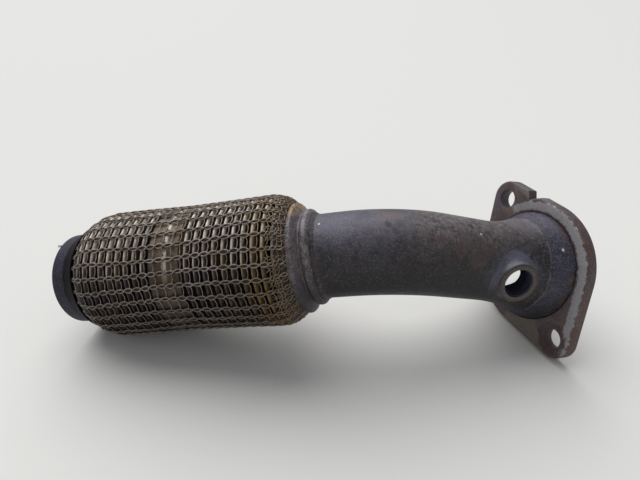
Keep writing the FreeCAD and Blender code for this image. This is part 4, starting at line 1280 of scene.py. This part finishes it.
class MUFFLER_OT_tube(bpy.types.Operator):
    """Build the bent tube with its flared end"""

    bl_idname = "muffler.tube"
    bl_label = "Tube"

    def execute(self, context):
        tube, place, boss = settings("tube", "place", "boss")
        wide_growth = 9 * MM
        stations = tube_stations()
        verts = []
        for inset, order in ((0.0, stations), (tube.wall, stations[::-1])):
            for centre, heading, lift, growth in order:
                stand = (turn("Z", heading) @ turn("Y", -lift)).to_3x3()
                height = 0.6 * tube.unevenness * (1.0 if growth < wide_growth else 0.2)
                for a in angles(ROUND):
                    uneven = wave(centre.x * 60, math.cos(a) * 1.5, math.sin(a) * 1.5, 4.0)
                    rim = tube.radius + growth - inset + height * uneven
                    verts.append(centre + stand @ Vector(about_x(0, rim, a)))
        at, mesh = coupling_frame(), (verts, grid_faces(len(verts) // ROUND, ROUND))
        piece = make_piece("front_pipe_look", mesh, at, tube_material(), "front_pipe")
        inside = piece.data.attributes.new("inside", "FLOAT", "POINT")
        half = len(verts) // 2
        inside.data.foreach_set("value", [0.0] * half + [1.0] * (len(verts) - half))
        drill(piece, at @ boss_local(), boss.spigot_radius + 0.1 * MM, place.boss_face * 0.6)
        shade(piece, 40.0)
        return {"FINISHED"}


# Sensor boss and its weld


def tube_gap(point):
    """How far a point of the coupling's frame lies outside the tube's run and flare."""
    tube = settings("tube")
    along, _, bend_end, end = tube_directions()
    away = point - bend_end
    share = max(0.0, 1 - (end - point).dot(along) / tube.bell_length)
    return (away - along * away.dot(along)).length - tube.radius - bell_growth(tube, share)


def foot_height(local, radius, a):
    """Height in the boss's frame where its side meets the tube."""
    low, high = -FOOT_SEARCH, 0.0
    for _ in range(HALVINGS):
        middle = (low + high) / 2
        if tube_gap(local @ Vector((radius * math.cos(a), radius * math.sin(a), middle))) > 0:
            high = middle
        else:
            low = middle
    return (low + high) / 2


def foot_ring(local, radii):
    """Heights round the boss where its side meets the tube, for one radius or one a column."""
    turns = angles(ROUND)
    return np.array([foot_height(local, r, a) for r, a in zip(np.broadcast_to(radii, ROUND), turns)])


def boss_weld_material():
    p = settings("palette")
    paint = Paint("boss_weld_scale", coupling_frame())
    # Painted shade on the weld's lower side, heat tint on its upper side
    paint.start(p.pipe_low, p.lavender, paint.upper(-34, -20))
    paint.coat(p.pipe_dark, paint.patches, 0.3)
    paint.speckle(p.speck, p.pit, 0.35)
    return paint.finish(0.35, 0.4, 0.62, 0.5)


def boss_material():
    b, p = settings("boss", "palette")
    paint = Paint("boss_scale", coupling_frame() @ boss_local())
    reach = paint.reach(paint.x, paint.y)
    paint.start(p.lavender, p.pipe, paint.patches)
    paint.coat(p.face, paint.ramp(paint.z, -1.9, -1.0))
    paint.speckle(p.speck, p.pit, 0.35)
    paint.wear_and_highlight(p.speck, 0.5)
    inner = b.thread_radius + b.thread_depth
    limits = (b.thread_radius + b.thread_depth * share for share in (0.45, 0.15))
    # core: lighter towards the thread's crests
    core = paint.mix(paint.times(paint.span(reach, *limits), 0.7), p.thread, p.thread_light)
    hole = paint.span(reach, inner + 0.35 * MM, inner)
    paint.coat(core, paint.times(hole, paint.ramp(paint.z, -0.7, -1.7)))
    return paint.finish(0.35, 0.4, 0.62, 0.45)


class MUFFLER_OT_boss(bpy.types.Operator):
    """Build the threaded sensor boss and its weld"""

    bl_idname = "muffler.boss"
    bl_label = "Sensor Boss"

    def execute(self, context):
        b = settings("boss")
        local = boss_local()
        at = coupling_frame() @ local
        steel, weld = boss_material(), boss_weld_material()
        foot = foot_ring(local, b.radius)
        wall = foot_ring(local, b.spigot_radius)
        floor = wall - b.spigot_length
        mouth = -b.lead * 0.7
        rows = [(b.radius, foot + 0.1 * MM)]
        rows += [(b.radius - b.edge * (1 - cosine), -b.edge * (1 - sine)) for sine, cosine in quarter(6)]
        rows.append((b.thread_radius + b.thread_depth + b.lead * 0.1, 0.0))
        rows.append((b.thread_radius + b.thread_depth * 0.6, mouth))
        turns, entry_rows = np.array(shares(ROUND)[:-1]), 3
        for i in range(1, THREAD_ROWS + 1):
            z = mouth + (floor - mouth) * i / THREAD_ROWS
            phase = (z / b.thread_pitch - turns) % 1.0
            groove = b.thread_depth * (1 - abs(2 * phase - 1)) * min(1.0, i / entry_rows)
            rows.append((b.thread_radius + groove, z))
        rows += [(b.spigot_radius, floor), (b.spigot_radius, wall)]
        mesh = stacked(rows, ROUND), grid_faces(len(rows), ROUND)
        make_piece("sensor_boss_look", mesh, at, steel, "sensor_boss", 50.0)

        a = np.array(angles(ROUND))
        legs = b.weld_leg * np.array([1 + 0.12 * ring_wave(0, turned, 2.2, 1.0, 6.0) for turned in a])
        heights = np.minimum(legs * 0.8, -b.edge * 1.2 - foot)
        rows = []
        for t in shares(8):
            radii = b.radius + legs * t
            rise = heights * (1 - math.sqrt(1 - (1 - t) ** 2))
            ripple = 0.05 * MM * np.sin(a * 34) * math.sin(math.pi * t)
            rows.append((radii, foot_ring(local, radii) + rise + ripple))
        for r in (b.radius + b.weld_leg * 0.9, b.radius + 0.02 * MM):
            rows.append((r, foot_ring(local, r) - 0.3 * MM))
        mesh = stacked(rows, ROUND), grid_faces(len(rows), ROUND, flip=True)
        make_piece("sensor_boss_weld_look", mesh, at, weld, "sensor_boss_weld", 60.0)
        return {"FINISHED"}


# Flange and its weld


def arc_points(x, radius, first, last, steps):
    turns = [first + (last - first) * t for t in shares(steps)]
    return [(x + radius * math.cos(a), radius * math.sin(a)) for a in turns]


def flank_lean(f):
    """Direction square to the flank between an ear and the round middle."""
    return math.acos((f.disc_radius - f.ear_radius) / f.ear_distance)


def flange_outline(f, inset):
    """The flange's outline, moved inwards by inset, as a closed list of points."""
    lean = flank_lean(f)
    ear, disc = f.ear_radius - inset, f.disc_radius - inset
    floor = Vector((math.cos(f.notch_angle), math.sin(f.notch_angle)))
    wall = Vector((-floor.y, floor.x))
    corner = Vector((f.notch_x, f.notch_y)) - (wall + floor) * inset
    normal = Vector((math.cos(lean), math.sin(lean)))

    def on_flank(start, heading):
        """Where a line from start meets the upper flank."""
        return start + heading * ((disc - start.dot(normal)) / heading.dot(normal))

    notch_top, notch_end = on_flank(corner, wall), on_flank(corner, -floor)
    points = arc_points(f.ear_distance, ear, -lean, lean, EAR_STEPS)
    points += [tuple(notch_top.lerp(corner, t)) for t in shares(4)]
    points += [tuple(corner.lerp(notch_end, t)) for t in shares(6)[1:]]
    points += arc_points(0, disc, lean, math.pi - lean, DISC_STEPS)
    points += arc_points(-f.ear_distance, ear, math.pi - lean, math.pi + lean, EAR_STEPS)
    return points + arc_points(0, disc, math.pi + lean, TAU - lean, DISC_STEPS)


def flat_faces(verts, loops, up):
    """Flat faces between an outline and the holes in it."""
    flat = [[Vector((*verts[i][:2], 0)) for i in loop] for loop in loops]
    index = [i for loop in loops for i in loop]
    faces = []
    for triangle in tessellate_polygon(flat):
        face = [index[i] for i in triangle]
        a, b, c = (Vector(verts[i]) for i in face)
        upward = (b - a).cross(c - a).z > 0
        faces.append(tuple(face if upward == up else face[::-1]))
    return faces


def flange_material():
    f, p = settings("flange", "palette")
    paint = Paint("flange_scale", coupling_frame() @ flange_local(), 0.9)
    near_face = paint.ramp(paint.z, 1.3, 0.4)
    paint.start(p.flange_brown, p.rust, paint.patches)
    paint.coat(p.lavender, paint.rust(0.5, 0.8), 0.5)
    ragged = paint.uneven(9, 200.0, 5.0, 0.7)
    olive = paint.times(paint.ramp(paint.plus(paint.x, ragged), -22, -27), near_face)
    purple = paint.ramp(paint.plus(paint.y, ragged), -10, -5)
    paint.coat(p.olive, paint.times(olive, paint.minus(0.9, paint.times(purple, 0.7))))
    paint.coat(p.flange_grey, paint.times(flange_band(paint, f), near_face), 0.92)
    paint.coat(p.purple, paint.spot((-f.ear_distance, 0, 0), 11, 2, 7), 0.9)
    paint.speckle(p.speck, p.pit, 0.4)
    paint.wear_and_highlight(p.flange_grey, 0.35)
    return paint.finish(0.25, 0.48, 0.74, 0.7)


def flange_band(paint, f):
    """Mask of the ragged grey band round the bore and along the lower flank."""
    sine, cosine = math.sin(flank_lean(f)), math.cos(flank_lean(f))
    across = paint.minus(paint.times(paint.y, sine), paint.times(paint.x, cosine))
    along = paint.plus(paint.times(paint.y, cosine), paint.times(paint.x, sine))
    reach = paint.reach(across, paint.maths("MAXIMUM", along, 0.0))
    ragged = paint.uneven(5.5, 330.0, 5.0, 0.7)
    off = paint.away(paint.plus(reach, ragged), f.disc_radius - 3.3 * MM)
    return paint.times(paint.ramp(off, 3.0, 2.2), paint.ramp(paint.plus(paint.y, ragged), 0, 5))


class MUFFLER_OT_flange(bpy.types.Operator):
    """Build the two-bolt flange and its weld"""

    bl_idname = "muffler.flange"
    bl_label = "Flange"

    def execute(self, context):
        f, tube, p = settings("flange", "tube", "palette")
        at = coupling_frame() @ flange_local()
        rows = [(f.near_edge * (1 - sine), f.near_edge * (1 - cosine)) for sine, cosine in quarter(5)]
        for sine, cosine in quarter(3):
            rows.append((f.far_edge * (1 - cosine), f.thickness - f.far_edge * (1 - sine)))
        verts = [(x, y, z) for inset, z in rows for x, y in flange_outline(f, inset)]
        columns = len(verts) // len(rows)
        faces = grid_faces(len(rows), columns, closed=False)
        near, far = [range(columns)], [range(len(verts) - columns, len(verts))]
        holes = (
            (0.0, f.bore_radius, ROUND, 0.3 * MM),
            (f.ear_distance, f.hole_radius, HOLE_ROUND, 0.5 * MM),
            (-f.ear_distance, f.hole_radius, HOLE_ROUND, 0.5 * MM),
        )
        for x, radius, count, soft in holes:
            start = len(verts)
            edge = ((radius + soft, 0.0), (radius + soft * 0.3, soft * 0.3), (radius, soft))
            levels = [*edge, *((r, f.thickness - z) for r, z in reversed(edge))]
            verts += [(x + dx, y, z) for dx, y, z in stacked(levels, count)]
            faces += grid_faces(len(levels), count, closed=False, start=start, flip=True)
            near.append(range(start, start + count))
            far.append(range(len(verts) - count, len(verts)))
        faces += flat_faces(verts, near, up=False) + flat_faces(verts, far, up=True)
        make_piece("flange_look", (verts, faces), at, flange_material(), "flange", 35.0)

        weld = plain_steel("flange_weld_scale", p.weld, p.pipe_dark, p.rust, 0.7)
        depth, outer = tube.bell_seat + SEAT, f.bore_radius - SEAT
        fillet = [
            (depth, tube.bell_radius - tube.wall),
            (tube.bell_seat + 1.2 * MM, f.bore_radius - 1.2 * MM, 1.0 * MM),
            (f.thickness - 0.3 * MM, outer),
            (depth, outer),
        ]
        rows = [(r, z) for z, r in softened(fillet)]
        mesh = stacked(rows, FLANGE_WELD_ROUND), grid_faces(len(rows), FLANGE_WELD_ROUND)
        make_piece("flange_weld_look", mesh, at, weld, "flange_weld")
        return {"FINISHED"}


# Floor, lights and camera


def lamp(name, kind, place, energy, **attributes):
    """A light that shines from a place towards the part."""
    light = bpy.data.lights.new(name, kind)
    light.energy = energy
    for key, value in attributes.items():
        setattr(light, key, value)
    piece = bpy.data.objects.new(name, light)
    piece.location = place
    piece.rotation_euler = (-Vector(place)).to_track_quat("-Z", "Y").to_euler()
    bpy.context.scene.collection.objects.link(piece)


class MUFFLER_OT_stage(bpy.types.Operator):
    """Set the floor, the lights and the camera"""

    bl_idname = "muffler.stage"
    bl_label = "Stage"

    def execute(self, context):
        s, p = settings("stage", "palette")
        scene = context.scene
        corners = [(FLOOR_HALF * x, FLOOR_HALF * y, 0) for x, y in ((-1, -1), (1, -1), (1, 1), (-1, 1))]
        mesh = bpy.data.meshes.new("floor")
        mesh.from_pydata(corners, [], [(0, 1, 2, 3)])
        floor = bpy.data.objects.new("floor", mesh)
        scene.collection.objects.link(floor)
        material = bpy.data.materials.new("floor_paint")
        material.use_nodes = True
        shader = material.node_tree.nodes["Principled BSDF"]
        shader.inputs["Base Color"].default_value = (*p.floor, 1.0)
        shader.inputs["Roughness"].default_value = 0.85
        mesh.materials.append(material)

        world = bpy.data.worlds.new("studio")
        world.use_nodes = True
        n = Nodes(world.node_tree)
        seen = n.add("ShaderNodeLightPath").outputs["Is Camera Ray"]
        back = world.node_tree.nodes["Background"]
        n.put(back.inputs["Color"], n.mix(seen, (0.93, 0.95, 1.0), (0.76, 0.76, 0.75)))
        n.put(back.inputs["Strength"], n.plus(s.sky, n.times(seen, 1.0 - s.sky)))
        scene.world = world
        lamp("key", "SUN", s.key_place, s.key_power, angle=s.key_spread)
        lamp("fill", "AREA", s.fill_place, s.fill_power, size=s.fill_size)

        at = coupling_frame()
        look, up = (at.to_3x3() @ Vector(way) for way in (s.camera_look, s.camera_up))
        right = look.cross(up).normalized()
        up = right.cross(look).normalized()
        stand = Matrix((right, up, -look.normalized())).transposed().to_4x4()
        data = bpy.data.cameras.new("camera")
        data.sensor_width = 36.0
        data.lens = s.lens
        data.clip_start = 0.01
        data.clip_end = 50.0
        camera = bpy.data.objects.new("camera", data)
        camera.matrix_world = Matrix.Translation(at @ Vector(s.camera_place)) @ stand
        scene.collection.objects.link(camera)
        scene.camera = camera
        scene.view_settings.view_transform = "Standard"
        return {"FINISHED"}


class MUFFLER_PT_panel(bpy.types.Panel):
    bl_label = "Front Muffler"
    bl_idname = "MUFFLER_PT_panel"
    bl_space_type = "VIEW_3D"
    bl_region_type = "UI"
    bl_category = "Muffler"

    def draw(self, context):
        for operator in OPERATORS:
            self.layout.operator(operator.bl_idname)
        for name, group in GROUPS.items():
            box = self.layout.box()
            for key in group.__annotations__:
                box.prop(getattr(context.scene, name), key)


OPERATORS = (
    MUFFLER_OT_caps,
    MUFFLER_OT_bellows,
    MUFFLER_OT_knit,
    MUFFLER_OT_tube,
    MUFFLER_OT_boss,
    MUFFLER_OT_flange,
    MUFFLER_OT_stage,
)
CLASSES = (*GROUPS.values(), *OPERATORS, MUFFLER_PT_panel)


def register():
    for item in CLASSES:
        bpy.utils.register_class(item)
    for name, group in GROUPS.items():
        setattr(bpy.types.Scene, name, bpy.props.PointerProperty(type=group))


def unregister():
    for name in GROUPS:
        delattr(bpy.types.Scene, name)
    for item in reversed(CLASSES):
        bpy.utils.unregister_class(item)


def main():
    register()
    make_groups()
    bpy.ops.muffler.caps()
    bpy.ops.muffler.bellows()
    bpy.ops.muffler.knit()
    bpy.ops.muffler.tube()
    bpy.ops.muffler.boss()
    bpy.ops.muffler.flange()
    bpy.ops.muffler.stage()


if __name__ == "__main__":
    main()
